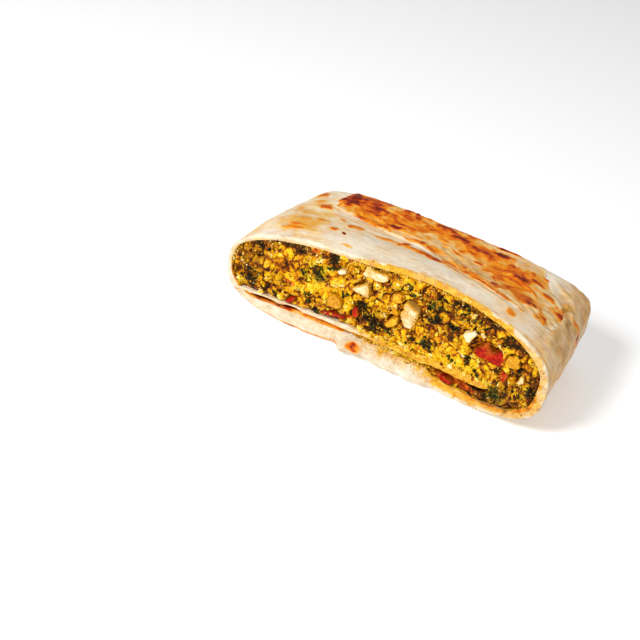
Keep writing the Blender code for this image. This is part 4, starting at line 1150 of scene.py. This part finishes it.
def make_filling():
    """The mash as one lumpy crumbly mass, finely worked where it is cut."""
    core = copy_of("filling", "filling_mash")
    apply_modifier(core, "REMESH", mode="VOXEL", voxel_size=MASH_VOXEL)
    select_faces(core, lambda c, n: (n[:, 1] < -0.35) & (c[:, 1] < CUT + cut_y(c[:, 0]) + CUT_BAND))
    bpy.ops.object.mode_set(mode="EDIT")
    bpy.ops.mesh.subdivide(number_cuts=2)
    bpy.ops.object.mode_set(mode="OBJECT")
    points, normals = coordinates(core), normals_of(core)
    x, z = points[:, 0], points[:, 2]
    depth = points[:, 1] - CUT - cut_y(x)
    front = ramp_down(depth, 1.6, 1.2) * smooth_step((-normals[:, 1] - 0.1) / 0.5)
    brown, green, orange, smooth = region(points)
    middle, border = cells(points, *CLUMP)
    small_middle, small_border = cells(points, *SMALL_CLUMP)
    crumbly = 1.0 - 0.75 * smooth
    relief = 1.25 * (0.45 - middle) * smooth_step(border / 0.25) - 0.45 * (1.0 - smooth_step(border / 0.22))
    relief += 0.50 * (0.45 - small_middle) + 0.45 * grain(points, *MASH_GRAIN)
    pocket = within(x, POCKET_SPAN) * ramp_down(z, *POCKET_BELOW)
    relief = relief * MM * crumbly - BROWN_SINK * brown - POCKET_SINK * pocket
    shade = 0.53 + 0.14 * smooth - 0.12 * brown
    # painted shade: the colour is darkened in the crevices between larger and smaller clumps, where shade
    # falls
    cavity = (1.0 - smooth_step(border / 0.20)) * 0.8 + (1.0 - smooth_step(small_border / 0.22)) * 0.5
    points = points + normals * (MASH_SWELL * (1.0 - front))[:, None]
    low = ramp_down(points[:, 2], *LOW_BELOW) * ramp_down(depth, *LOW_BEHIND)
    points[:, 2] -= LOW_SINK * low * ramp_up(points[:, 0], *LOW_FROM)
    points[:, 1] -= (relief + MASH_STAND) * front
    move_to(core, points)
    for name, values in (
        ("brown", brown), ("green", green), ("orange", orange), ("cavity", cavity * crumbly),
        ("shade", shade + 0.30 * grain(points, *SHADE_GRAIN)),
    ):
        set_attribute(core, name, values)
    return shade_soft(core)


def crumb_template(name, rough, seed, shape, cuts=0):
    """One lump, modelled once: a ball with its corners pushed about, its faces eased and then pressed."""
    deselect()
    bpy.ops.mesh.primitive_ico_sphere_add(subdivisions=1, radius=1.0)
    item = bpy.context.object
    item.name = name
    steps = [(bpy.ops.transform.vertex_random, {"offset": rough, "seed": seed})]
    if cuts:
        steps.append((bpy.ops.mesh.subdivide, {"number_cuts": cuts, "smoothness": 0.45}))
        steps.append((bpy.ops.transform.vertex_random, {"offset": 0.10, "seed": seed + 40}))
    work(item, *steps, (bpy.ops.transform.resize, {"value": shape}), FACE_OUTWARDS)
    points = coordinates(item)
    faces = np.array([list(face.vertices) for face in item.data.polygons])
    bpy.data.objects.remove(item)
    return points, faces


def turned(rng, count):
    """Random turns as matrices."""
    q = rng.normal(size=(count, 4))
    q /= np.linalg.norm(q, axis=1, keepdims=True)
    w, x, y, z = q.T
    rows = [1 - 2 * (y * y + z * z), 2 * (x * y - w * z), 2 * (x * z + w * y),
            2 * (x * y + w * z), 1 - 2 * (x * x + z * z), 2 * (y * z - w * x),
            2 * (x * z - w * y), 2 * (y * z + w * x), 1 - 2 * (x * x + y * y)]
    return np.stack(rows, axis=1).reshape(count, 3, 3)


def scatter(name, templates, places, sizes, rng, attributes, sharp):
    """One piece made of many copies of the templates."""
    count = len(places)
    turns, stretch = turned(rng, count), rng.uniform(0.6, 1.35, (count, 3))
    all_points, all_faces, owner, start = [], [], [], 0
    pick = rng.integers(0, len(templates), count)
    for index, (points, faces) in enumerate(templates):
        chosen = np.flatnonzero(pick == index)
        moved = np.einsum("nij,nkj->nki", turns[chosen], points[None] * stretch[chosen, None])
        moved = moved * sizes[chosen, None, None] + places[chosen][:, None, :]
        all_points.append(moved.reshape(-1, 3))
        shift = start + np.arange(len(chosen)) * len(points)
        all_faces.append((faces[None] + shift[:, None, None]).reshape(-1, 3))
        owner.append(np.repeat(chosen, len(points)))
        start += len(chosen) * len(points)
    mesh = bpy.data.meshes.new(name)
    mesh.from_pydata(np.concatenate(all_points), [], np.concatenate(all_faces))
    item = bpy.data.objects.new(name, mesh)
    bpy.context.scene.collection.objects.link(item)
    owner = np.concatenate(owner)
    for key, values in attributes.items():
        set_attribute(item, key, values[owner])
    activate(item)
    bpy.ops.object.shade_smooth_by_angle(angle=sharp)
    return item


def tree_of(*items):
    """A search tree over the meshes of the items, all of which sit at the origin."""
    points, faces, start = [], [], 0
    for item in items:
        points.extend(vertex.co.copy() for vertex in item.data.vertices)
        faces.extend([start + corner for corner in face.vertices] for face in item.data.polygons)
        start = len(points)
    return BVHTree.FromPolygons(points, faces)


def cast(tree, x, z):
    """Where a line from the front meets the surface."""
    return tree.ray_cast(Vector((x, CUT - 15.0 * MM, z)), Vector((0.0, 1.0, 0.0)))


def landing(core, covers, wanted, rng):
    """Places and normals on the cut face for each wanted spot that nothing else covers.

    covers lists search trees with the chance, by x, that a crumb stays on top of them."""
    places, normals, kept = [], [], []
    for index, (x, z) in enumerate(wanted):
        hit, normal, _, _ = cast(core, x, z)
        if hit is None or hit.y > CUT + cut_y(x) + 5.0 * MM:
            continue
        free = True
        for tree, chance in covers:
            cover, cover_normal, _, _ = cast(tree, x, z)
            if cover is not None and cover.y < hit.y + 0.3 * MM:
                if rng.random() > chance(x):
                    free = False
                    break
                hit, normal = cover, cover_normal
        if free:
            places.append(hit)
            normals.append(normal)
            kept.append(index)
    return np.array(places), np.array(normals), np.array(kept)


def mash_tones(places, rng, lift=0.0):
    """Tones of each crumb, after the part of the mash that it lies in."""
    brown, green, orange, _ = region(places)
    count = len(places)
    shade = np.clip(0.58 + lift + 0.30 * grain(places, *SHADE_GRAIN) + rng.normal(0.0, 0.17, count)
                    - 0.12 * brown, 0.05, 1.0)
    # a few crumbs are pale: bits of chickpea skin and onion, and also painted highlights that stand for
    # glints on the mash
    pale = rng.random(count) < 0.045
    brown = np.maximum(brown, 0.60 * (rng.random(count) < 0.13))
    green = np.maximum(green, 0.65 * (rng.random(count) < 0.18))
    return {
        "shade": np.where(pale, 0.88, shade),
        "brown": np.clip(brown + rng.normal(0.0, 0.20, count), 0.0, 1.0) * (1.0 - 0.8 * pale),
        "green": np.clip(green + rng.normal(0.0, 0.15, count), 0.0, 1.0),
        "orange": orange * (rng.random(count) < 0.75),
        "cavity": np.zeros(count),
    }


# how many are tried, smallest and largest (mm), how far sunk (sizes), sharpest smooth angle (radians)
LUMP_SPREAD, GRAIN_SPREAD = (1950, (0.52, 1.52), -0.50, 0.42), (9500, (0.16, 0.48), 0.10, 0.5)
# seeds and proportions of the crumbs that are modelled once
LUMPS = ((1, (1.0, 0.85, 0.65)), (2, (1.0, 0.6, 0.8)), (3, (0.9, 0.75, 0.7)), (4, (1.1, 0.7, 0.6)),
         (12, (1.1, 0.9, 0.6)), (13, (0.8, 0.8, 0.8)), (14, (1.2, 0.7, 0.7)))
GRAINS = ((5, (1.0, 0.8, 0.6)), (6, (0.9, 0.6, 0.8)), (7, (1.1, 0.6, 0.7)), (8, (1.0, 0.7, 0.9)))
FLAKES = ((9, (1.0, 0.6, 0.34)), (10, (0.9, 0.75, 0.30)), (11, (1.1, 0.4, 0.34)))
EVEN_FLAKES = 900
CRUMB_SEED = 11
SEAM_CRUMBS, UNDER_SEAM_CRUMBS = 330, 110
LIP_CRUMBS, RIM_CRUMBS, BORDER_CRUMBS = 150, 1700, 1300
CUT_ACROSS, CUT_UP = (-54.0 * MM, 53.0 * MM), (5.0 * MM, 36.0 * MM)
PIECE_COVER, INNER_COVER, INNER_COVER_GAIN, INNER_COVER_FROM = 0.07, 0.15, 0.80, (-10.0, 16.0)
FLAKE_SIZE, CLUSTER_FLAKE_SIZE, FLAKE_LIFT = 0.24, 0.58, 0.22 * MM
LUMP_ROUGH, GRAIN_ROUGH, FLAKE_ROUGH = 0.54, 0.34, 0.36
FLAKE_SHARP, SEAM_SHARP, SPILLED_SHARP = 0.5, 0.9, 0.5     # sharpest smooth angle (radians)
SEAM_LEFT, UNDER_SEAM = -8.0 * MM, (-9.0 * MM, 20.0 * MM)
LIP_SPAN, RIM_ACROSS, RIM_UP = (-3.0 * MM, 22.0 * MM), (-12.0 * MM, 56.0 * MM), (0.5 * MM, 38.5 * MM)
RIGHT_FROM, RIGHT_TO_HEIGHT, TOP_TO, TOP_FROM_HEIGHT = 22.0 * MM, 26.0 * MM, 34.0 * MM, 32.0 * MM
BORDER_FROM_HEIGHT = 9.5 * MM


def make_crumbs(core, pieces, skin, inner):
    """Lumps and crumbs of mash and flakes of herb, lying where they were cut through."""
    rng = np.random.default_rng(CRUMB_SEED)
    covers = [
        (tree_of(*pieces), lambda x: PIECE_COVER),
        (tree_of(skin), lambda x: 0.0),
        (tree_of(inner), lambda x: INNER_COVER + INNER_COVER_GAIN * float(ramp_up(x, *INNER_COVER_FROM))),
    ]

    def even_spots(count):
        across = rng.uniform(*CUT_ACROSS, count)
        return np.stack([across, rng.uniform(*CUT_UP, count)], axis=1)

    def mash(name, templates, base, spread):
        count, sizes, sink, sharp = spread
        places, normals, _ = landing(base, covers, even_spots(count), rng)
        smooth = spots(places[:, 0], places[:, 2], SMOOTH_AREAS)
        loose = grain(places, *LOOSE_GRAIN)
        stay = rng.random(len(places)) < (1.0 - 0.85 * smooth) * (0.46 + 1.9 * loose)
        places, normals = places[stay], normals[stay]
        size = (sizes[0] * (sizes[1] / sizes[0]) ** (rng.random(len(places)) ** 1.6)) * MM
        places = places + normals * (size * sink)[:, None]
        return scatter(name, templates, places, size, rng, mash_tones(places, rng), sharp)

    lumps = [crumb_template("lump", LUMP_ROUGH, seed, shape, 1) for seed, shape in LUMPS]
    grains = [crumb_template("grain", GRAIN_ROUGH, seed, shape) for seed, shape in GRAINS]
    flakes = [crumb_template("flake", FLAKE_ROUGH, seed, shape) for seed, shape in FLAKES]
    made = [mash("mash_lumps", lumps, tree_of(core), LUMP_SPREAD)]
    made.append(make_seam(lumps, rng))
    lumpy_tree = tree_of(core, *made)
    made.append(mash("mash_grains", grains, lumpy_tree, GRAIN_SPREAD))

    wanted = [even_spots(EVEN_FLAKES)]
    for cx, cz, spread, count in HERB_CLUSTERS:
        scattered = rng.normal(0.0, 0.55 * spread * MM, (int(1.3 * count), 2))
        wanted.append(np.array((cx, cz)) * MM + scattered)
    places, normals, kept = landing(lumpy_tree, covers, np.concatenate(wanted), rng)
    size = np.where(kept < EVEN_FLAKES, FLAKE_SIZE, CLUSTER_FLAKE_SIZE)
    size = size * (0.7 + 0.9 * rng.random(len(places)) ** 2) * MM
    places = places + normals * FLAKE_LIFT
    shade = rng.normal(0.34, 0.20, len(places)) + 0.2 * spots(places[:, 0], places[:, 2], GREEN_AREAS)
    tones = {"shade": np.clip(shade, 0.0, 1.0)}
    made.append(scatter("herb_flakes", flakes, places, size, rng, tones, FLAKE_SHARP))
    made.append(make_spilled(grains, skin, rng))
    return made


def make_seam(templates, rng):
    """Soft lumps of mash pressed over the upper edge of the inner layer."""
    x = rng.uniform(SEAM_LEFT, TONGUE_TIP_X + 0.5 * MM, SEAM_CRUMBS)
    y = CUT + cut_y(x) + rng.uniform(-0.1, 0.7, len(x)) * MM
    z = tongue_top(np.minimum(x, TONGUE_TIP_X)) + rng.normal(0.1, 0.45, len(x)) * MM
    z -= 1.5 * MM * ramp_up(x, 34.0, 4.5) * rng.random(len(x))
    places, size = np.stack([x, y, z], axis=1), rng.uniform(0.45, 1.0, len(x)) * MM
    x = np.sort(rng.uniform(*UNDER_SEAM, UNDER_SEAM_CRUMBS))
    x = x + rng.normal(0.0, 0.8 * MM, UNDER_SEAM_CRUMBS)
    y = CUT + cut_y(x) + rng.uniform(-0.5, 0.1, len(x)) * MM
    z = tongue_under(x) - rng.uniform(0.2, 1.0, len(x)) * MM
    places = np.concatenate((places, np.stack([x, y, z], axis=1)))
    size = np.concatenate((size, rng.uniform(0.18, 0.50, len(x)) * MM))
    return scatter("mash_seam", templates, places, size, rng, mash_tones(places, rng, 0.06), SEAM_SHARP)


def make_spilled(templates, skin, rng):
    """Crumbs smeared on the lip and on the rim at the right."""
    tree, places = tree_of(skin), []
    for _ in range(LIP_CRUMBS):
        x, forward = rng.uniform(*LIP_SPAN), abs(rng.normal(0.0, 1.3 * MM))
        start = Vector((x, CUT + cut_y(x) + 0.6 * MM - forward, slit_face(x) + 1.6 * MM))
        hit = tree.ray_cast(start, Vector((0.0, 0.0, -1.0)), 6.0 * MM)[0]
        if hit is not None:
            places.append(hit)
    for _ in range(RIM_CRUMBS):
        x, z = rng.uniform(*RIM_ACROSS), rng.uniform(*RIM_UP)
        hit, normal, _, _ = cast(tree, x, z)
        near = (x > RIGHT_FROM and z < RIGHT_TO_HEIGHT) or (x < TOP_TO and z > TOP_FROM_HEIGHT)
        if hit is not None and near and normal.y < -0.5 and hit.y < CUT + cut_y(x) + 1.5 * MM:
            places.append(hit)
    inner_x, inner_z = cut_outline(even_angles())[2:4]
    inward = inward_of(inner_x, inner_z)
    for index in rng.integers(0, len(inward), BORDER_CRUMBS):
        x, z = np.array((inner_x[index], inner_z[index])) + inward[index] * rng.uniform(-0.2, 1.0) * MM
        if z > BORDER_FROM_HEIGHT:
            places.append(Vector((x, CUT + cut_y(x) + rng.uniform(0.1, 0.7) * MM, z)))
    places = np.array(places)
    size = (0.12 + 0.26 * rng.random(len(places)) ** 1.5) * MM
    tones = mash_tones(places, rng, 0.05)
    return scatter("mash_spilled", templates, places, size, rng, tones, SPILLED_SHARP)


# ------------------------------------------------------------------------------ diced pieces
# the outline of each piece at the cut, as shares of its width and height
DICE_OUTLINES = {
    "onion_slice": ((0.0, 0.0), (0.5, 0.02), (0.82, 0.24), (0.98, 0.66), (0.9, 1.0), (0.62, 0.96),
                    (0.42, 0.84), (0.1, 1.0), (0.04, 0.46)),
    "onion_wedge": ((0.0, 0.24), (0.2, 0.1), (0.62, 0.06), (0.97, 0.0), (1.0, 0.3), (0.93, 0.68),
                    (0.78, 1.0), (0.42, 0.62)),
    "onion_chunk": ((0.38, 0.0), (0.78, 0.02), (0.88, 0.26), (0.97, 0.58), (0.96, 0.76), (0.6, 0.88),
                    (0.36, 1.0), (0.14, 0.82), (0.24, 0.64), (0.08, 0.5), (0.18, 0.28)),
    "onion_end": ((0.1, 0.06), (0.55, 0.0), (0.96, 0.3), (0.9, 0.72), (0.62, 1.0), (0.3, 0.78),
                  (0.36, 0.44)),
    "white_cube": ((0.1, 0.4), (0.42, 0.08), (0.62, 0.04), (0.74, 0.42), (0.92, 0.8), (0.72, 1.0),
                   (0.22, 0.64)),
    "white_bit": ((0.02, 0.42), (0.38, 0.0), (0.98, 0.46), (0.94, 1.0), (0.46, 0.96)),
    "pepper_large": ((0.0, 0.3), (0.16, 0.12), (0.46, 0.02), (0.94, 0.0), (1.0, 0.34), (0.97, 0.92),
                     (0.8, 1.0), (0.62, 0.7), (0.46, 0.88), (0.44, 1.2), (0.36, 1.22), (0.16, 0.66)),
    "pepper_tail": ((0.3, 0.2), (0.6, 0.0), (0.84, 0.3), (1.0, 0.82), (0.62, 1.0), (0.06, 0.98),
                    (0.12, 0.6)),
    "pepper_strip": ((0.0, 0.04), (0.3, 0.1), (0.62, 0.4), (0.97, 0.64), (1.0, 0.98), (0.72, 1.0),
                     (0.4, 0.86), (0.08, 0.5)),
    "pepper_corner": ((0.0, 0.08), (0.5, 0.0), (0.84, 0.34), (1.0, 1.0), (0.58, 0.92), (0.36, 0.62)),
    "pepper_bit": ((0.24, 0.08), (0.74, 0.0), (1.0, 0.42), (0.7, 0.64), (0.72, 1.0), (0.3, 0.94),
                   (0.08, 0.56)),
    "pepper_pocket": ((0.4, 0.3), (0.58, 0.0), (0.96, 0.02), (1.0, 0.56), (0.7, 0.74), (0.48, 1.0),
                      (0.0, 0.96), (0.12, 0.62)),
    "chickpea_small": ((0.08, 0.2), (0.4, 0.0), (0.78, 0.1), (1.0, 0.48), (0.88, 0.86), (0.5, 1.0),
                       (0.12, 0.72)),
    "chickpea_chunk": ((0.0, 0.12), (0.34, 0.0), (0.74, 0.22), (1.0, 0.54), (0.96, 1.0), (0.54, 0.94),
                       (0.22, 0.56)),
    "chickpea_half": ((0.06, 0.3), (0.34, 0.02), (0.76, 0.06), (1.0, 0.4), (0.9, 0.84), (0.52, 1.0),
                      (0.16, 0.8)),
    "chickpea_end": ((0.0, 0.3), (0.2, 0.1), (0.42, 0.0), (0.86, 0.14), (1.0, 0.36), (0.8, 0.6),
                     (0.9, 0.86), (0.56, 1.0), (0.36, 0.76), (0.08, 0.82)),
}


DICE_BEVEL, DICE_EDGE, DICE_LEAN = 0.07, 0.24, 0.16     # shares of the piece's smaller side, and a slope
DICE_VOXEL, FINEST_VOXEL = 0.026, 0.10 * MM             # share of the piece's larger side
RIDGE_PITCH = 0.28 * MM
ROUGHNESS = {"onion": 0.10 * MM, "white": 0.12 * MM, "pepper": 0.16 * MM, "chickpea": 0.14 * MM}
RIDGES = {"onion": 0.09 * MM}
BROWNED_PIECES = ("chickpea_half", "chickpea_end")


def distance_inside(x, z, outline):
    """Distance from each point to the nearest side of the outline."""
    nearest = np.full(len(x), np.inf)
    for first, second in zip(outline, np.roll(outline, -1, axis=0)):
        side = second - first
        share = np.clip(((x - first[0]) * side[0] + (z - first[1]) * side[1]) / (side @ side), 0.0, 1.0)
        away = np.hypot(x - first[0] - share * side[0], z - first[1] - share * side[1])
        nearest = np.minimum(nearest, away)
    return nearest


def make_dice(node):
    """One diced piece, cut to its outline and roughened where the knife and the pan left it."""
    kind = node.split("_")[0]
    low, high = (np.array(corner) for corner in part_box(node))
    span, middle = high - low, (low + high) / 2
    smaller, larger = min(span[0], span[2]), max(span[0], span[2])
    outline = low[[0, 2]] + np.array(DICE_OUTLINES[node]) * span[[0, 2]]
    deselect()
    bpy.ops.mesh.primitive_circle_add(vertices=len(outline), radius=MM, fill_type="NGON")
    item = bpy.context.object
    item.name = item.data.name = node + "_piece"
    move_to(item, np.stack([outline[:, 0], np.full(len(outline), low[1]), outline[:, 1]], axis=1))
    work(
        item,
        (bpy.ops.mesh.extrude_region_move, {"TRANSFORM_OT_translate": {"value": (0.0, span[1], 0.0)}}),
        FACE_OUTWARDS,
        (bpy.ops.mesh.bevel, {"offset": DICE_BEVEL * smaller, "segments": 2, "affect": "EDGES"}),
    )
    apply_modifier(item, "REMESH", mode="VOXEL", voxel_size=max(FINEST_VOXEL, DICE_VOXEL * larger))
    apply_modifier(item, "SMOOTH", factor=0.5, iterations=1)
    points, normals = coordinates(item), normals_of(item)
    seed = float(sum(map(ord, node)) % 97)
    lift = ROUGHNESS[kind] * (1.2 * grain(points, 2.2 * MM, seed + 11.0) + grain(points, 1.0 * MM, seed, 0.6)
                              + 0.4 * grain(points, 0.4 * MM, seed + 3.0))
    if kind in RIDGES:
        along = points[:, 2] * 0.95 + points[:, 0] * 0.3
        lift += RIDGES[kind] * np.sin(along / RIDGE_PITCH + 2.0 * grain(points, 2.0 * MM, seed + 7.0))
    points = points + normals * lift[:, None]
    across, up = points[:, 0] - middle[0], points[:, 2] - middle[2]
    points[:, 1] += DICE_LEAN * (math.sin(seed * 1.7) * across + math.cos(seed * 2.3) * up)
    move_to(item, points)
    inside = distance_inside(points[:, 0], points[:, 2], outline)
    set_attribute(item, "edge", 1.15 * (1.0 - smooth_step(inside / (DICE_EDGE * smaller))))
    return shade_soft(item)


def mash_look():
    """Mash from dark gaps, darkened by painted shade in the crevices between clumps, to pale crumbs, with
    browned, herbed and orange parts.
    """
    look = Look("herbed chickpea mash", subsurface_weight=0.06, subsurface_scale=0.4, specular_ior_level=0.22)
    look.shader.inputs["Subsurface Radius"].default_value = (0.002, 0.0012, 0.0004)
    look.shader.inputs["Specular Tint"].default_value = (1.0, 0.80, 0.36, 1.0)
    shade, brown, green = look.attribute("shade"), look.attribute("brown"), look.attribute("green")
    orange, cavity = look.attribute("orange"), look.attribute("cavity")
    broad, mid = look.noise(330.0, 3.0, 0.6), look.noise(900.0, 4.0, 0.62)
    fine = look.noise(2600.0, 3.0, 0.6)
    # painted shade: the level drops in the crevices between clumps, which darkens the colour there
    level = shade + (mid - 0.5) * 0.60 + (broad - 0.5) * 1.10 - cavity * 0.44
    base = look.ramp(level, (
        (0.04, (46, 14, 2)), (0.20, (124, 54, 3)), (0.34, (196, 116, 3)), (0.47, (224, 160, 5)),
        (0.62, (236, 192, 16)), (0.84, (243, 212, 80)), (1.0, (248, 234, 186))))
    crust = look.ramp(level, (
        (0.08, (24, 8, 2)), (0.30, (66, 26, 3)), (0.50, (122, 56, 4)), (0.70, (176, 98, 8)),
        (0.94, (218, 150, 34))))
    leaf = look.ramp(level, (
        (0.10, (32, 28, 3)), (0.34, (100, 82, 5)), (0.54, (164, 134, 8)), (0.78, (208, 184, 36)),
        (1.0, (232, 214, 104))))
    color = look.mix((brown + (broad - 0.5) * 0.8).step(0.20, 0.95), base, crust)
    color = look.mix((green + (mid - 0.5) * 0.6).step(0.30, 0.90) * 0.65, color, leaf)
    color = look.mix((orange + (mid - 0.5) * 0.4).step(0.35, 0.65), color, look.ramp(level, (
        (0.2, (150, 50, 6)), (0.5, (216, 100, 14)), (0.8, (236, 144, 36)))))
    sockets = {"Vector": look.place, "Scale": 1150.0, "Randomness": 1.0}
    speck = look.node("TexVoronoi", sockets, out="Distance")
    speckled = (1.0 - speck.step(0.16, 0.26)) * look.noise(210.0, 2.0).step(0.48, 0.60)
    color = look.mix(speckled * 0.60, color, tone((48, 30, 6)))
    height = mid * 0.6 + fine * 0.35 - speck.step(0.0, 0.5) * 0.2
    return look.finish(color, 0.46 - fine * 0.2, height, 0.6 * MM, 1.0)


def herb_look():
    """Dark chopped leaf, lighter on some flakes."""
    look = Look("chopped herb", specular_ior_level=0.15)
    shade, mid = look.attribute("shade"), look.noise(1500.0, 3.0, 0.6)
    color = look.ramp(shade + (mid - 0.5) * 0.6, (
        (0.10, (14, 11, 3)), (0.40, (36, 34, 8)), (0.65, (62, 62, 12)), (0.90, (108, 108, 30)),
        (1.0, (154, 148, 60))))
    return look.finish(color, 0.40 + mid * 0.2, mid, 0.2 * MM, 0.8)


def dice_look(name, stops, scale, roughness, edge_color, edge_share, smear, subsurface=0.12, specular=0.3):
    """A diced vegetable: mottled flesh, darker at its edges, with mash smeared over part of it."""
    look = Look(name, subsurface_weight=subsurface, subsurface_scale=0.5, specular_ior_level=specular)
    look.shader.inputs["Subsurface Radius"].default_value = (0.003, 0.002, 0.001)
    edge = look.attribute("edge")
    mid, fine = look.noise(scale, 4.0, 0.6), look.noise(scale * 4.0, 3.0, 0.6)
    fibres = look.noise(scale, 4.0, 0.6, look.stretched((1.0, 1.0, 5.0)))
    color = look.ramp(mid * 0.55 + fine * 0.2 + fibres * 0.25, stops)
    color = look.mix((edge + (mid - 0.5) * 0.8).step(0.62, 1.05) * edge_share, color, edge_color)
    mashy = look.ramp(fine, ((0.36, (150, 84, 4)), (0.50, (216, 148, 8)), (0.64, (240, 190, 44))))
    color = look.mix((look.noise(300.0, 4.0, 0.6) + edge * 0.10).step(0.54, 0.62) * smear, color, mashy)
    return look.finish(color, roughness + (fine - 0.5) * 0.2, fine * 0.5 + fibres * 0.5, 0.25 * MM, 0.8)


# ------------------------------------------------------------------------------ the whole half
def make_pieces():
    """All diced pieces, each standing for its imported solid."""
    looks = {
        "onion": dice_look("cooked onion", (
            (0.34, (206, 168, 98)), (0.50, (226, 200, 146)), (0.64, (243, 230, 196))), 420.0, 0.24,
            tone((206, 152, 36)), 0.85, 0.55, 0.15, 0.20),
        "white": dice_look("white cube", (
            (0.34, (214, 190, 136)), (0.50, (236, 224, 190)), (0.64, (246, 240, 222))), 500.0, 0.45,
            tone((214, 168, 62)), 0.7, 0.25),
        "pepper": dice_look("red pepper", (
            (0.34, (96, 6, 1)), (0.50, (168, 20, 2)), (0.66, (208, 56, 8))), 600.0, 0.24,
            tone((110, 22, 2)), 0.8, 0.18, 0.04, 0.10),
        "chickpea": dice_look("chickpea", (
            (0.34, (206, 126, 4)), (0.50, (234, 164, 10)), (0.66, (246, 196, 54))), 520.0, 0.36,
            tone((150, 84, 6)), 0.9, 0.60, 0.06, 0.20),
        "browned": dice_look("browned chickpea", (
            (0.34, (160, 88, 4)), (0.50, (204, 140, 16)), (0.66, (230, 184, 70))), 900.0, 0.40,
            tone((190, 126, 8)), 1.0, 1.0, 0.05, 0.15),
    }
    made = []
    for node in DICE_OUTLINES:
        kind = node.split("_")[0]
        made.append(make_dice(node))
        finish_piece(made[-1], node, looks["browned" if node in BROWNED_PIECES else kind])
    return made


FLOOR_SIZE, FLOOR_GLOW, FLOOR_WHITE, FLOOR_ROUGHNESS = 3.0, 0.20, (253, 253, 253), 0.9


def make_floor():
    """The pale floor that the half lies on, the only stage piece."""
    deselect()
    bpy.ops.mesh.primitive_plane_add(size=FLOOR_SIZE)
    floor = bpy.context.object
    floor.name = "floor"
    paint = Look("pale floor")
    paint.shader.inputs["Emission Color"].default_value = WHITE
    paint.shader.inputs["Emission Strength"].default_value = FLOOR_GLOW
    floor.data.materials.append(paint.finish(tone(FLOOR_WHITE), FLOOR_ROUGHNESS))


def main():
    """Makes every piece, gives it its finish and lays the floor."""
    bread = bread_look()
    skin, flap, inner = make_skin(), make_flap(), make_tongue()
    for item in (skin, flap, inner):
        finish_piece(item, "bread", bread)
    pieces = make_pieces()
    mash = mash_look()
    core = make_filling()
    crumbs = make_crumbs(core, pieces, skin, inner)
    finish_piece(core, "filling", mash)
    for item in crumbs:
        finish_piece(item, "filling", herb_look() if item.name == "herb_flakes" else mash)
    make_floor()


# ---------------------------------------------------------------------------- camera and light
WHITE = (1.0, 1.0, 1.0, 1.0)
CAMERA_PLACE, CAMERA_TURN = (0.09197, -0.31858, 0.21128), (56.51, -10.39, 27.78)    # metres, degrees
FOCAL_LENGTH, SENSOR_WIDTH, NEAREST = 65.39, 36.0, 0.01
SKY_STRENGTH = 0.34
LAMPS_AIM_AT = Vector((0.0, 0.0, 0.02))
# name, place (metres), side (metres), power (watts)
LAMPS = (
    ("key", (-0.20, -0.44, 0.40), 0.16, 3.2),
    ("fill", (0.45, -0.55, 0.35), 0.60, 0.95),
    ("top", (0.05, 0.20, 0.70), 0.60, 0.90),
)


def add_object(name, data, place, turn):
    """Places a camera or a lamp."""
    item = bpy.data.objects.new(name, data)
    bpy.context.scene.collection.objects.link(item)
    item.location, item.rotation_euler = place, turn
    return item


def make_camera_and_light():
    """The camera, a soft white surround and three lamps."""
    data = bpy.data.cameras.new("camera")
    data.lens, data.sensor_width, data.clip_start = FOCAL_LENGTH, SENSOR_WIDTH, NEAREST
    turn = tuple(math.radians(angle) for angle in CAMERA_TURN)
    bpy.context.scene.camera = add_object("camera", data, CAMERA_PLACE, turn)
    world = bpy.data.worlds.new("studio")
    world.use_nodes = True
    sky = world.node_tree.nodes["Background"].inputs
    sky["Color"].default_value, sky["Strength"].default_value = WHITE, SKY_STRENGTH
    bpy.context.scene.world = world
    for name, place, size, power in LAMPS:
        lamp = bpy.data.lights.new(name, "AREA")
        lamp.size, lamp.energy = size, power
        add_object(name, lamp, place, (LAMPS_AIM_AT - Vector(place)).to_track_quat("-Z", "Y").to_euler())
    bpy.context.scene.view_settings.view_transform = "Standard"


make_camera_and_light()
main()
